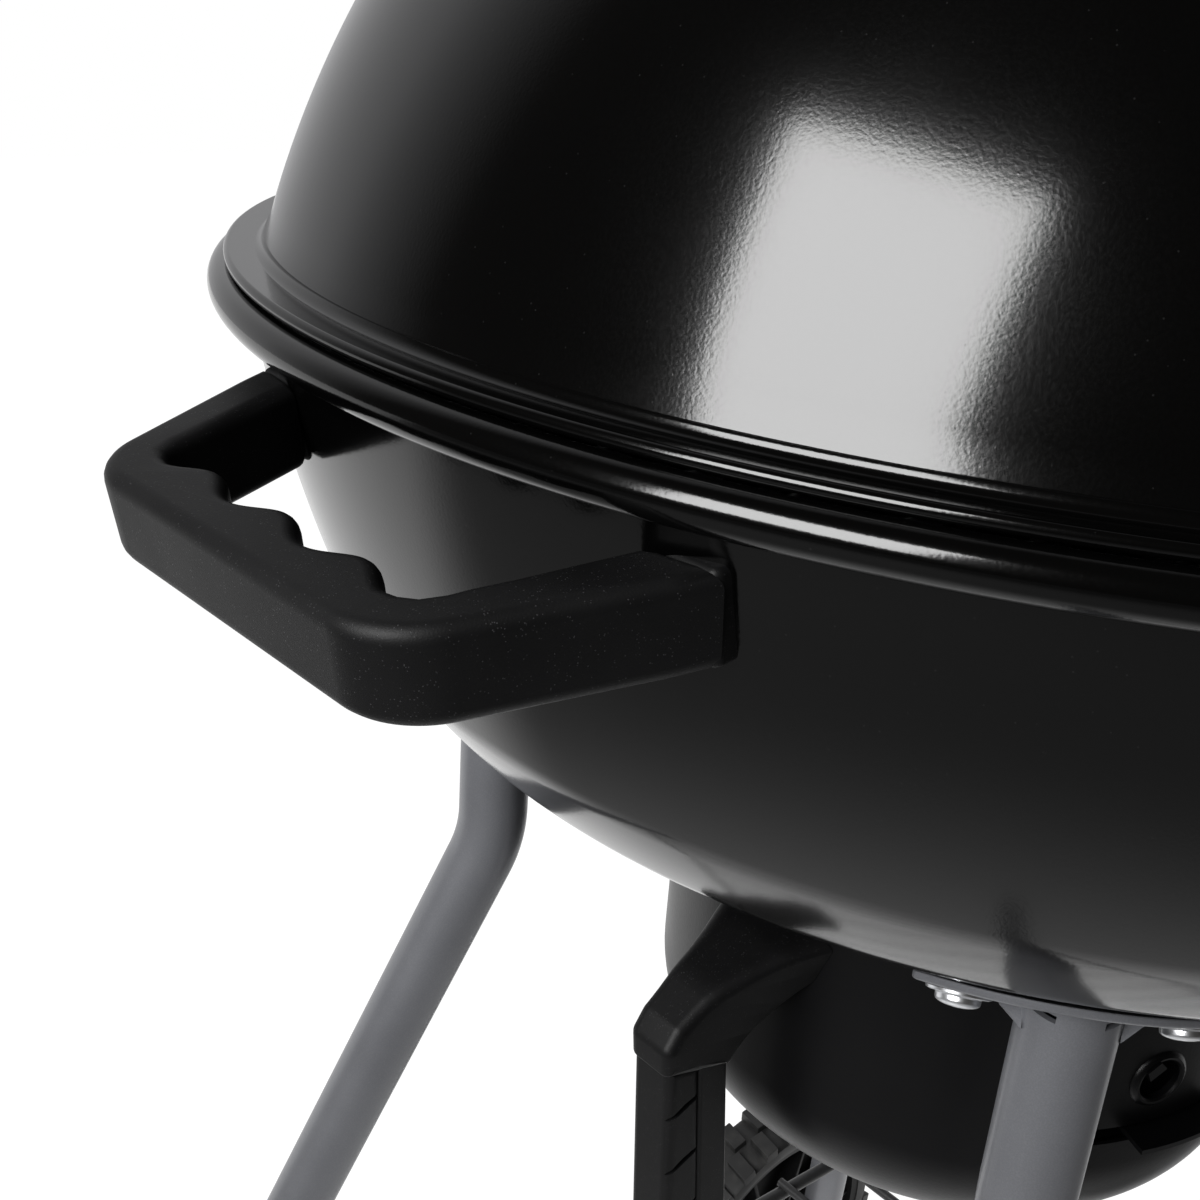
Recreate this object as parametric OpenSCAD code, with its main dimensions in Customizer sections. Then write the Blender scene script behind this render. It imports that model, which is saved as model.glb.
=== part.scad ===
// Kettle charcoal grill: enamelled bowl and lift-off lid on four bolted tube legs, two of them on wheels,
// with a towing handle, a hanging ash pot with its own pistol grip, two grates and a wire shelf.
// The origin is on the kettle's axis at floor level, +Z is up. The towing handle points to -X, the wheels
// are on the +X side and the cook stands on the -Y side. Heights with _z are measured from the floor.

/* [Kettle] */
// Outer diameter of the bowl's rolled rim
rim_d = 470; // [390:1:570]
// Height of the rim plane above the floor
rim_h = 800; // [660:1:960]
// Thickness of the enamelled sheet
sheet = 1.2; // [1:0.1:1.6]
// Height of the lid's dome above the rim plane
lid_rise = 187; // [155:1:226]
// Diameter of the opening in the bottom of the bowl
bowl_hole_d = 120; // [100:1:140]

/* [Legs and wheels] */
// Outer diameter of the leg tubes
tube_d = 22; // [18:0.5:26]
// Wall of the leg tubes
tube_wall = 1.5; // [1:0.1:2.5]
// Angle of each leg from the X axis
leg_azimuth = 39.5; // [34:0.5:45]
// Lean of the plain front legs below the bend
front_lean = 22; // [12:0.5:24]
// Lean of the wheeled rear legs below the bend
rear_lean = 13.25; // [8:0.25:18]
// Outer diameter of the wheels
wheel_d = 204; // [170:1:244]
// Width of the tyre tread
wheel_w = 36; // [28:1:44]
// Diameter of the wheel axle
axle_d = 10; // [8:0.5:12]

/* [Handles] */
// How far the towing handle stands out from the bowl wall
tow_reach = 55.6; // [48:0.1:66]
// Half width of the towing handle at its outer corners
tow_half_front = 49.2; // [44:0.1:58]
// Half width of the towing handle at the bowl
tow_half_back = 73; // [68:0.5:80]
// Height of the handle's section
tow_h = 19.2; // [16:0.1:23]
// Length of the ash pot's pistol grip
grip_len = 122; // [102:1:146]

/* [Ash pot] */
// Outer diameter of the ash pot
pot_d = 194; // [170:1:220]
// Height of the ash pot
pot_h = 104; // [90:1:124]

/* [Grates] */
// Thickness of the grates' rods
rod_d = 4; // [3:0.5:5]
// Number of parallel rods in the cooking grate
grate_rods = 19; // [15:2:23]

/* [Hidden] */
$fn = 64;
eps = 0.01;

// Clearances, each tied to the pair of parts that it keeps apart
gap_body = 0.3;       // between pieces of different bodies that face each other
gap_grate = 1.2;      // between the grates and the radius of their brackets
run_axle = 0.05;      // radial running fit of the hubs on the axle
run_rivet = 0.05;     // radial running fit of the damper on its rivet
gap_ring = 4;         // between the pot's wall and the damper ring, room for the screw heads
weld = 0.6;           // depth to which welded tabs and hooks enter the sheet

rim_r = rim_d / 2;
k = rim_r / 235;
tube_r = tube_d / 2;
bowl_hole_r = bowl_hole_d / 2;

// Rolled rim of the bowl
bead_r = 4.5;
bead_c = [rim_r - bead_r, -5.5];

// Outline of the bowl, as [radius, height] from the rim plane
neck = [rim_r - 9, -8];
crease_1 = [203 * k, -86 * k];
crease_2 = [184.3 * k, -109.2 * k];
cone_slope = 33;
cone_bulge = 1.2 * k;
cone_end = [100 * k, crease_2[1] - (crease_2[0] - 100 * k) * tan(cone_slope)];
hole_edge = [bowl_hole_r, cone_end[1] - 7 * k];

// Outline of the lid
lid_edge_r = rim_r - 4;
lid_wall = [219.6 * k, 8];
lid_arc_mid = [170.5 * k, 99 * lid_rise / 187];
crown_r = 60 * k;
cove_r = 6;

// Points of a circular arc from p to q that bulges by sag to the right of p -> q
function arc_pts(p, q, sag, n) =
    let (d = q - p, len = norm(d), m = (p + q) / 2, nrm = [d[1], -d[0]] / len,
         rad = (len * len / 4 + sag * sag) / (2 * sag), c = m - nrm * (rad - sag),
         a0 = atan2(p[1] - c[1], p[0] - c[0]), a1 = atan2(q[1] - c[1], q[0] - c[0]),
         turn = a1 - a0 > 180 ? a1 - a0 - 360 : a1 - a0 < -180 ? a1 - a0 + 360 : a1 - a0)
    [for (i = [0:n]) c + abs(rad) * [cos(a0 + turn * i / n), sin(a0 + turn * i / n)]];

function tail(pts) = [for (i = [1:len(pts) - 1]) pts[i]];
function backwards(pts) = [for (i = [len(pts) - 1:-1:0]) pts[i]];

// The outline moved sideways by t, for the other face of a sheet
function side_at(pts, i) =
    let (a = pts[max(i - 1, 0)], b = pts[min(i + 1, len(pts) - 1)], d = (b - a) / norm(b - a)) [d[1], -d[0]];
function beside(pts, t) = [for (i = [0:len(pts) - 1])
    let (p = pts[i] + t * side_at(pts, i)) pts[i][0] < eps ? [0, pts[i][1] - abs(t)] : p];

module sheet_shell(pts, t) {
    rotate_extrude($fn = 96) polygon(concat(pts, backwards(beside(pts, t))));
}

bowl_line = concat(
    arc_pts(neck, crease_1, -2.2 * k, 7),
    [crease_2],
    tail(arc_pts(crease_2, cone_end, -cone_bulge, 4)),
    tail(arc_pts(cone_end, hole_edge, -1 * k, 3)));

// The dome is one arc from the wall to the crown, and a flatter cap on top
function circle_through(a, b, c) =
    let (d = 2 * (a[0] * (b[1] - c[1]) + b[0] * (c[1] - a[1]) + c[0] * (a[1] - b[1])),
         sa = a * a, sb = b * b, sc = c * c)
    [(sa * (b[1] - c[1]) + sb * (c[1] - a[1]) + sc * (a[1] - b[1])) / d,
     (sa * (c[0] - b[0]) + sb * (a[0] - c[0]) + sc * (b[0] - a[0])) / d];
dome_end = [86.6 * k, 165 * lid_rise / 187];
dome_c = circle_through(lid_wall, lid_arc_mid, dome_end);
dome_rad = norm(lid_wall - dome_c);
crown_tilt = asin((crown_r - dome_c[0]) / dome_rad);
crown_rad = crown_r / sin(crown_tilt);
crown_z = dome_c[1] + dome_rad * cos(crown_tilt);
crown_c_z = crown_z - crown_rad * cos(crown_tilt);
dome_start = asin((lid_wall[0] - dome_c[0]) / dome_rad);
lid_line = concat(
    [[lid_edge_r, 0.8], [lid_edge_r - 3, 2.2]],
    [for (i = [0:4]) let (t = 90 * i / 4) lid_wall + cove_r * [1 - sin(t), -cos(t)]],
    [for (i = [1:14]) let (a = dome_start + (crown_tilt - dome_start) * i / 14)
        dome_c + dome_rad * [sin(a), cos(a)]],
    [for (i = [1:5]) let (a = crown_tilt * (1 - i / 5)) [crown_rad * sin(a), crown_c_z + crown_rad * cos(a)]]);

// Moves its children to the lid's surface, +Z along the outward normal, tilt measured at the arc's centre
module on_lid(azimuth, tilt) {
    on_cap = tilt < crown_tilt;
    c = on_cap ? [0, crown_c_z] : dome_c;
    rad = on_cap ? crown_rad : dome_rad;
    rotate([0, 0, azimuth]) translate([c[0] + rad * sin(tilt), 0, rim_h + c[1] + rad * cos(tilt)])
        rotate([0, tilt, 0]) children();
}

// Height at a radius of the plain cone that touches the bowl's bulged lower part
function cone_z(r) = crease_2[1] - (crease_2[0] - r) * tan(cone_slope) - cone_bulge / cos(cone_slope);
// Moves its children to the cone under the bowl, +Z along the outward normal
module on_cone(azimuth, r) {
    rotate([0, 0, azimuth]) translate([r, 0, rim_h + cone_z(r)]) rotate([0, 180 - cone_slope, 0]) children();
}

// Side names: left is +Y and right is -Y, looking from the towing handle to the wheels
FRONT_LEFT = 180 - leg_azimuth;
FRONT_RIGHT = leg_azimuth - 180;
REAR_LEFT = leg_azimuth;
REAR_RIGHT = -leg_azimuth;

// ---------------------------------------------------------------- lid

handle_tilt = asin(38 * k / crown_rad);
handle_x = crown_rad * sin(handle_tilt);
damper_azimuth = 60;
damper_tilt = 27;
damper_r = 34;
vent_r = 7;
vent_ring = 20;
vents = 5;
damper_t = 1;
gauge_azimuth = -90;
gauge_tilt = 48;
gauge_hole_r = 5;
screw_r = 2.5;

module vent_holes(h) {
    for (i = [0:vents - 1]) rotate([0, 0, i * 360 / vents]) translate([vent_ring, 0, -h])
        cylinder(r = vent_r, h = 2 * h, $fn = 24);
}

module lid_shell() color([0.03, 0.03, 0.035]) {
    difference() {
        translate([0, 0, rim_h]) union() {
            sheet_shell(lid_line, -sheet);
            rotate_extrude($fn = 96) translate([lid_edge_r - 1.2, 1.6]) circle(r = 1.2, $fn = 16);
        }
        on_lid(damper_azimuth, damper_tilt) vent_holes(12);
        on_lid(damper_azimuth, damper_tilt) cylinder(r = 3, h = 20, center = true, $fn = 24);
        on_lid(gauge_azimuth, gauge_tilt) cylinder(r = gauge_hole_r, h = 20, center = true, $fn = 24);
        for (s = [-1, 1]) on_lid(90 + 90 * s, handle_tilt)
            cylinder(r = screw_r, h = 20, center = true, $fn = 24);
    }
}

handle_rise = 44;
handle_bar_r = 11;
post_r = 9;

// Every upright part of the lid handle stands over one of its two screws
module at_handle_screws() {
    for (s = [-1, 1]) translate([s * handle_x, 0, rim_h + crown_c_z + crown_rad * cos(handle_tilt)]) children();
}

shield_z = 14;
module lid_handle() color([0.05, 0.05, 0.05]) {
    z0 = rim_h + crown_c_z + crown_rad * cos(handle_tilt);
    difference() {
        union() {
            at_handle_screws() translate([0, 0, shield_z + 1.5]) cylinder(r = post_r, h = handle_rise - shield_z - 1.5);
            translate([-handle_x, 0, z0 + handle_rise]) rotate([0, 90, 0]) cylinder(r = handle_bar_r, h = 2 * handle_x);
            for (s = [-1, 1]) translate([s * handle_x, 0, z0 + handle_rise]) sphere(r = handle_bar_r);
        }
        at_handle_screws() cylinder(r = screw_r, h = shield_z + 20, $fn = 24);
    }
}

module lid_handle_posts() color([0.7, 0.7, 0.72]) {
    at_handle_screws() difference() {
        translate([0, 0, 2.2]) cylinder(r = 6, h = shield_z - 2.2);
        cylinder(r = screw_r, h = 3 * shield_z, center = true, $fn = 24);
    }
}

module lid_heat_shield() color([0.75, 0.75, 0.77]) {
    z0 = rim_h + crown_c_z + crown_rad * cos(handle_tilt) + shield_z;
    difference() {
        translate([-handle_x, 0, z0]) union() {
            translate([0, -15, 0]) cube([2 * handle_x, 30, 1.5]);
            for (s = [0, 2 * handle_x]) translate([s, 0, 0]) cylinder(r = 15, h = 1.5);
        }
        at_handle_screws() cylinder(r = screw_r, h = 40, $fn = 24);
    }
}

module lid_handle_screws() color([0.8, 0.8, 0.82]) {
    at_handle_screws() {
        translate([0, 0, -6]) cylinder(r = screw_r - 0.1, h = shield_z + 22, $fn = 24);
        translate([0, 0, -8.5]) cylinder(r = 5, h = 3, $fn = 32);
    }
}

// Wire hook inside the lid, to hang it on the bowl's rim
hook_tilt = 62;
module lid_hook() color([0.6, 0.6, 0.62]) {
    on_lid(0, hook_tilt) translate([0, 0, -sheet]) {
        for (s = [-1, 1]) translate([0, s * 14, -8]) cylinder(r = 2, h = 8 + eps, $fn = 16);
        translate([0, -14, -8]) rotate([-90, 0, 0]) cylinder(r = 2, h = 28, $fn = 16);
        for (s = [-1, 1]) translate([0, s * 14, -8]) sphere(r = 2, $fn = 16);
    }
}

rivet_r = 2.9;
damper_lift = 0.5;
module lid_damper() color([0.72, 0.73, 0.75]) {
    on_lid(damper_azimuth, damper_tilt) translate([0, 0, damper_lift]) difference() {
        union() {
            cylinder(r = damper_r, h = damper_t, $fn = 96);
            translate([-2, damper_r - 9, 0]) cube([4, 18, damper_t]);
            translate([-5, damper_r + 5, 0]) cube([10, 8, damper_t + 9]);
        }
        vent_holes(12);
        cylinder(r = rivet_r + run_rivet, h = 20, center = true, $fn = 32);
    }
}

module lid_damper_rivet() color([0.8, 0.8, 0.82]) {
    on_lid(damper_azimuth, damper_tilt) {
        translate([0, 0, -sheet - 2]) cylinder(r = rivet_r, h = sheet + 2 + damper_lift + damper_t + 1.4, $fn = 32);
        translate([0, 0, damper_lift + damper_t + gap_body]) cylinder(r = 6, h = 2, $fn = 32);
        translate([0, 0, -sheet - 4.4]) cylinder(r = 6, h = 2.6, $fn = 32);
    }
}

gauge_r = 27;
gauge_h = 9;
gauge_lift = 0.5;
module thermometer_case() color([0.78, 0.79, 0.8]) {
    on_lid(gauge_azimuth, gauge_tilt) {
        translate([0, 0, gauge_lift]) difference() {
            cylinder(r = gauge_r, h = gauge_h, $fn = 64);
            translate([0, 0, 1.5]) cylinder(r = gauge_r - 1.5, h = gauge_h, $fn = 64);
            cylinder(r = 1.05, h = 6, center = true, $fn = 24);
        }
        translate([0, 0, -34]) difference() {
            cylinder(r = gauge_hole_r - 0.2, h = 34 + gauge_lift + eps, $fn = 32);
            translate([0, 0, 10]) cylinder(r = 1.05, h = 40, $fn = 24);
        }
    }
}

module thermometer_dial() color([0.92, 0.92, 0.9]) {
    on_lid(gauge_azimuth, gauge_tilt) translate([0, 0, gauge_lift + 1.5]) difference() {
        cylinder(r = gauge_r - 1.6, h = 0.8, $fn = 64);
        cylinder(r = 1.05, h = 4, center = true, $fn = 24);
    }
}

module thermometer_needle() color([0.75, 0.1, 0.08]) {
    on_lid(gauge_azimuth, gauge_tilt) translate([0, 0, gauge_lift + 3]) union() {
        cylinder(r = 3, h = 1, $fn = 32);
        translate([-16, -0.8, 0]) cube([16, 1.6, 0.8]);
        translate([0, 0, -10]) cylinder(r = 1, h = 10.5, $fn = 24);
    }
}

module thermometer_lens() color([0.8, 0.85, 0.88, 0.35]) {
    on_lid(gauge_azimuth, gauge_tilt) translate([0, 0, gauge_lift + gauge_h - 2.5])
        cylinder(r = gauge_r - 1.6, h = 1.5, $fn = 64);
}

module thermometer_nut() color([0.7, 0.7, 0.72]) {
    on_lid(gauge_azimuth, gauge_tilt) translate([0, 0, -sheet - 6.2]) difference() {
        cylinder(r = 9, h = 5, $fn = 6);
        cylinder(r = gauge_hole_r - 0.2, h = 20, center = true, $fn = 32);
    }
}

// ---------------------------------------------------------------- bowl

flange_screw_r = 157 * k;
flange_screw_side = 23.5;
flange_bolt_r = 3;

// The two screws of the flange at one leg
module at_flange_screws(azimuth) {
    for (s = [-1, 1]) on_cone(azimuth + s * asin(flange_screw_side / flange_screw_r), flange_screw_r) children();
}
module at_all_flange_screws() {
    for (a = [FRONT_LEFT, FRONT_RIGHT, REAR_LEFT, REAR_RIGHT]) at_flange_screws(a) children();
}

tow_tilt = 7.5;
tow_wall_x = -212 * k;
tow_z = -16.5;
tow_bracket_u = 11.5;
tow_screw_r = 3;
tow_screw_end = tow_bracket_u + 7;
tow_head_u = -2.8;
function tow_half(u) = tow_half_back + (tow_half_front - tow_half_back) * u / tow_reach;
bracket_w = 14;
bracket_side = tow_half(tow_bracket_u) - 8;

// The handle's own frame: +X runs outward from the bowl wall, +Z is up, z = 0 is its top face
module on_tow() {
    translate([tow_wall_x, 0, rim_h + tow_z]) rotate([0, tow_tilt, 180]) children();
}
module at_tow_screws() {
    for (s = [-1, 1]) on_tow() translate([0, s * bracket_side, -tow_h / 2]) rotate([0, 90, 0]) children();
}

module bowl_shell() color([0.03, 0.03, 0.035]) {
    difference() {
        translate([0, 0, rim_h]) union() {
            sheet_shell(bowl_line, sheet);
            rotate_extrude($fn = 96) difference() {
                union() {
                    translate(bead_c) circle(r = bead_r, $fn = 32);
                    polygon([neck + [-1.5, -3], neck + [-0.9, -3], bead_c + [-3.9, -1.5],
                             bead_c + [-3.9, 1.2]]);
                }
                translate(bead_c) circle(r = bead_r - sheet, $fn = 32);
            }
        }
        at_all_flange_screws() cylinder(r = flange_bolt_r + 0.2, h = 30, center = true, $fn = 24);
        at_tow_screws() translate([0, 0, -25]) cylinder(r = tow_screw_r + 0.2, h = 50, $fn = 24);
    }
}

// Four steel tabs inside the bowl, with a step for each grate
cook_z = -24;
coal_z = -98 * k;
cook_seat = cook_z - rod_d / 2 - gap_body;
coal_seat = coal_z - rod_d / 2 - gap_body;
cook_r = 212 * k;
coal_r = 172 * k;
tab_azimuths = [10, 100, 190, 280];
module grate_brackets() color([0.6, 0.6, 0.62]) {
    for (a = tab_azimuths) rotate([0, 0, a]) translate([0, 0, rim_h]) intersection() {
        translate([0, -12, -200]) cube([300, 24, 200]);
        rotate([0, 0, -8]) rotate_extrude(angle = 16, $fn = 96) {
            polygon([[206 * k, cook_seat], [221.2 * k, cook_seat], [219 * k, cook_seat - 10],
                     [209 * k, cook_seat - 3]]);
            polygon([[163 * k, coal_seat], [189.6 * k, coal_seat], [187.3 * k, coal_seat - 3],
                     [163 * k, coal_seat - 3]]);
        }
    }
}

tow_round = 14;
tow_bar = 17;
tow_arm = 11;
finger_r = 10;
fingers = 4;

// Plan of the towing handle: a rounded trapezoid with a finger-grooved opening
module tow_outline(inset_by, round_r) {
    r = round_r;
    front = tow_reach - inset_by[0] - r;
    half = tow_half_front - inset_by[1] - r;
    back = tow_bracket_u;
    back_half = tow_half(back) - inset_by[1];
    hull() {
        for (s = [-1, 1]) translate([front, s * half]) circle(r = r, $fn = 32);
        translate([back, -back_half]) square([eps, 2 * back_half]);
    }
}

module tow_handle() color([0.05, 0.05, 0.05]) {
    inner_x = tow_reach - tow_bar;
    inner_half = tow_half_front - tow_arm;
    on_tow() difference() {
        translate([0, 0, -tow_h]) linear_extrude(tow_h) tow_outline([0, 0], tow_round);
        translate([0, 0, -tow_h - 1]) linear_extrude(tow_h + 2) {
            polygon([[tow_bracket_u - 1, tow_half(tow_bracket_u) - tow_arm],
                     [inner_x - 6, tow_half(inner_x) - tow_arm - 2],
                     [inner_x, inner_half - 6], [inner_x, 6 - inner_half],
                     [inner_x - 6, 2 + tow_arm - tow_half(inner_x)],
                     [tow_bracket_u - 1, tow_arm - tow_half(tow_bracket_u)]]);
            for (i = [0:fingers - 1])
                translate([inner_x - finger_r + 5, (i - (fingers - 1) / 2) * 2 * finger_r * 0.96])
                    circle(r = finger_r * 0.9, $fn = 32);
        }
        for (s = [-1, 1]) translate([0, s * bracket_side, -tow_h / 2]) rotate([0, 90, 0])
            cylinder(r = tow_screw_r, h = tow_screw_end + 1, $fn = 24);
    }
}

// The bowl's wall near the towing handle, as a plain cone that stands clear of it
wall_top = -8;
wall_bottom = -48;
module tow_wall_cone() {
    translate([0, 0, rim_h + wall_bottom]) cylinder(r1 = rim_r - 17.5 * k + gap_body, r2 = rim_r - 9 + gap_body + 0.4,
        h = wall_top - wall_bottom, $fn = 360);
}

module tow_handle_brackets() color([0.04, 0.04, 0.04]) {
    difference() {
        on_tow() for (s = [-1, 1]) difference() {
            translate([-9, s * bracket_side - bracket_w / 2, -tow_h + 0.5])
                cube([tow_bracket_u + 9 - gap_body, bracket_w, tow_h - 1]);
            translate([-20, s * bracket_side, -tow_h / 2]) rotate([0, 90, 0])
                cylinder(r = tow_screw_r, h = 60, $fn = 24);
        }
        tow_wall_cone();
    }
}

// The solid of revolution inside the bowl's outer face, grown by extra
module bowl_inside(extra) {
    rotate_extrude($fn = 96) polygon(concat(
        [[0, 20], [neck[0] + extra, 20]],
        [for (p = bowl_line) p + [extra * 1.2, -extra * 0.8]],
        [[0, hole_edge[1] - extra]]));
}

module tow_handle_screws() color([0.8, 0.8, 0.82]) {
    at_tow_screws() {
        translate([0, 0, tow_head_u]) cylinder(r = tow_screw_r - 0.1, h = tow_screw_end - tow_head_u, $fn = 24);
        translate([0, 0, tow_head_u]) cylinder(r = 5.5, h = 3, $fn = 32);
    }
}

// ---------------------------------------------------------------- legs

leg_r = 157 * k;
leg_bend_z = rim_h - 190 * k;
flange_t = 2;
flange_half_l = 35.5;
flange_half_w = 17;
foot_floor = 13;
wheel_r = wheel_d / 2;
axle_leg_r = leg_r + (leg_bend_z - wheel_r) * tan(rear_lean);
axle_x = axle_leg_r * cos(leg_azimuth);
leg_y = axle_leg_r * sin(leg_azimuth);

// A bent tube in the plane of one leg: an upright run and a leaning run that meet in a ball at the bend
bend_ball = 1.035;
module bent_tube(azimuth, lean, foot_z, r, h_over) {
    rotate([0, 0, azimuth]) translate([leg_r, 0, leg_bend_z]) {
        sphere(r = bend_ball * r, $fn = 48);
        cylinder(r = r, h = h_over, $fn = 48);
        rotate([0, 180 - lean, 0]) cylinder(r = r, h = (leg_bend_z - foot_z) / cos(lean), $fn = 48);
    }
}

module leg(azimuth, lean, foot_z) color([0.45, 0.46, 0.48]) {
    difference() {
        bent_tube(azimuth, lean, foot_z, tube_r, 140 * k);
        bent_tube(azimuth, lean, foot_z - 40, tube_r - tube_wall, 140 * k + 10);
        // cut flush below the flange plate
        on_cone(azimuth, leg_r) translate([-100, -100, flange_t + 2 * gap_body - 300]) cube([200, 200, 300]);
        // level cut at the foot
        translate([0, 0, foot_z - 100]) cube([2000, 2000, 200], center = true);
    }
}

module front_leg(azimuth) leg(azimuth, front_lean, foot_floor);
module rear_leg(azimuth) {
    difference() {
        leg(azimuth, rear_lean, wheel_r - 16);
        translate([axle_x, 0, wheel_r]) rotate([90, 0, 0])
            cylinder(r = axle_d / 2 + 0.1, h = 4 * leg_y, center = true, $fn = 48);
    }
}

// A lens-shaped plate that lies against the bowl's cone, with the tube's four gussets
module flange(azimuth) color([0.5, 0.51, 0.53]) {
    lens_r = (flange_half_l * flange_half_l + flange_half_w * flange_half_w) / (2 * flange_half_w);
    difference() {
        rotate([0, 0, azimuth]) translate([0, 0, rim_h]) intersection() {
            rotate([0, 0, -20]) rotate_extrude(angle = 40, $fn = 96) polygon([
                [100 * k, cone_z(100 * k) - gap_body], [200 * k, cone_z(200 * k) - gap_body],
                [200 * k, cone_z(200 * k) - gap_body - flange_t / cos(cone_slope)],
                [100 * k, cone_z(100 * k) - gap_body - flange_t / cos(cone_slope)]]);
            translate([flange_screw_r + 1, 0, -300 * k]) linear_extrude(300 * k) intersection() {
                translate([lens_r - flange_half_w, 0]) circle(r = lens_r, $fn = 96);
                translate([flange_half_w - lens_r, 0]) circle(r = lens_r, $fn = 96);
            }
        }
        at_flange_screws(azimuth) cylinder(r = flange_bolt_r, h = 30, center = true, $fn = 24);
    }
}

module flange_screws() color([0.85, 0.85, 0.87]) {
    at_all_flange_screws() {
        translate([0, 0, -8]) cylinder(r = flange_bolt_r - 0.1, h = 12, $fn = 24);
        translate([0, 0, flange_t + gap_body]) cylinder(r = 6.5, h = 1, $fn = 32);
        translate([0, 0, flange_t + gap_body + 1 - eps]) cylinder(r1 = 5.6, r2 = 3.6, h = 3, $fn = 32);
    }
}

module flange_nuts() color([0.7, 0.7, 0.72]) {
    at_all_flange_screws() translate([0, 0, -sheet - 6]) difference() {
        cylinder(r = 5.8, h = 5, $fn = 6);
        cylinder(r = flange_bolt_r - 0.1, h = 20, center = true, $fn = 24);
    }
}

module foot(azimuth) color([0.04, 0.04, 0.04]) {
    r = leg_r + leg_bend_z * tan(front_lean);
    rotate([0, 0, azimuth]) intersection() {
        difference() {
            translate([r, 0, 0]) rotate([0, -front_lean, 0]) translate([0, 0, -20])
                cylinder(r = tube_r + 3, h = 55);
            translate([r, 0, 0]) rotate([0, -front_lean, 0]) translate([0, 0, 4 / cos(front_lean) + 5])
                cylinder(r = tube_r + 0.02, h = 60);
        }
        translate([0, -100, 0]) cube([2000, 200, 200]);
    }
}

// ---------------------------------------------------------------- wheels

hub_r = 17;
tyre_t = 15;
rim_face_r = wheel_r - tyre_t;
wheel_gap = 12;
wheel_y = leg_y + tube_r / cos(leg_azimuth) + wheel_gap + wheel_w / 2;
axle_end = wheel_y + wheel_w / 2 + 9;
spokes = 10;

module axle() color([0.7, 0.71, 0.73]) {
    translate([axle_x, 0, wheel_r]) rotate([90, 0, 0])
        cylinder(r = axle_d / 2, h = 2 * axle_end, center = true, $fn = 64);
}

module wheel(side) color([0.06, 0.06, 0.06]) {
    translate([axle_x, side * wheel_y, wheel_r]) rotate([90, 0, 0]) difference() {
        union() {
            cylinder(r = hub_r, h = wheel_w, center = true);
            difference() {
                cylinder(r = rim_face_r, h = wheel_w - 4, center = true, $fn = 96);
                cylinder(r = rim_face_r - 5, h = wheel_w, center = true, $fn = 96);
            }
            cylinder(r = rim_face_r - 1, h = 3, center = true, $fn = 96);
            for (i = [0:spokes - 1]) rotate([0, 0, i * 360 / spokes]) translate([hub_r - 2, -1.5, -wheel_w / 2 + 5])
                cube([rim_face_r - hub_r - 1, 3, wheel_w - 10]);
        }
        cylinder(r = axle_d / 2 + run_axle, h = 2 * wheel_w, center = true, $fn = 64);
    }
}

lugs = 30;
module tyre(side) color([0.04, 0.04, 0.04]) {
    translate([axle_x, side * wheel_y, wheel_r]) rotate([90, 0, 0]) {
        rotate_extrude($fn = 96) polygon([
            [rim_face_r, -wheel_w / 2 + 1], [wheel_r - 5, -wheel_w / 2], [wheel_r - 3, -wheel_w / 2 + 3],
            [wheel_r - 3, wheel_w / 2 - 3], [wheel_r - 5, wheel_w / 2], [rim_face_r, wheel_w / 2 - 1]]);
        for (i = [0:lugs - 1], s = [-1, 1]) rotate([0, 0, (i + s / 4) * 360 / lugs])
            intersection() {
                translate([wheel_r - 4, -5, s * wheel_w / 4 - wheel_w / 5]) cube([4, 10, wheel_w * 0.4]);
                cylinder(r = wheel_r, h = 2 * wheel_w, center = true, $fn = 96);
            }
    }
}

module axle_cap(side) color([0.05, 0.05, 0.05]) {
    translate([axle_x, side * (wheel_y + wheel_w / 2 + gap_body), wheel_r]) rotate([-90 * side, 0, 0]) difference() {
        cylinder(r = 13, h = 12);
        translate([0, 0, -1]) cylinder(r = axle_d / 2, h = 10);
    }
}

// ---------------------------------------------------------------- shelf

shelf_z = rim_h * 0.32;
shelf_bars = 9;
wire_r = 2.5;
function leg_radius_at(z, lean) = leg_r + (leg_bend_z - z) * tan(lean);
front_at = [leg_radius_at(shelf_z, front_lean), leg_azimuth];
rear_at = [leg_radius_at(shelf_z, rear_lean), leg_azimuth];
shelf_x0 = -front_at[0] * cos(leg_azimuth) + tube_r + 2;
shelf_x1 = rear_at[0] * cos(leg_azimuth) - tube_r - 2;
shelf_y0 = front_at[0] * sin(leg_azimuth) - tube_r;
shelf_y1 = rear_at[0] * sin(leg_azimuth) - tube_r;

// A round wire between two points
module wire(a, b, r) {
    d = b - a;
    translate(a) rotate([0, atan2(norm([d[0], d[1]]), d[2]), atan2(d[1], d[0])])
        cylinder(r = r, h = norm(d), $fn = 24);
}

// Two side wires, with the cross bars welded on top of them
bar_past = 4;
module shelf_rack() color([0.12, 0.12, 0.12]) {
    for (s = [-1, 1]) wire([shelf_x0 - bar_past, s * shelf_y0, shelf_z], [shelf_x1 + bar_past, s * shelf_y1, shelf_z],
        wire_r + 1);
    for (i = [0:shelf_bars + 1]) {
        f = i / (shelf_bars + 1);
        x = shelf_x0 + (shelf_x1 - shelf_x0) * f;
        y = shelf_y0 + (shelf_y1 - shelf_y0) * f + bar_past;
        translate([x, 0, shelf_z + 1.6 * wire_r]) rotate([90, 0, 0])
            cylinder(r = wire_r, h = 2 * y, center = true, $fn = 24);
    }
}

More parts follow.
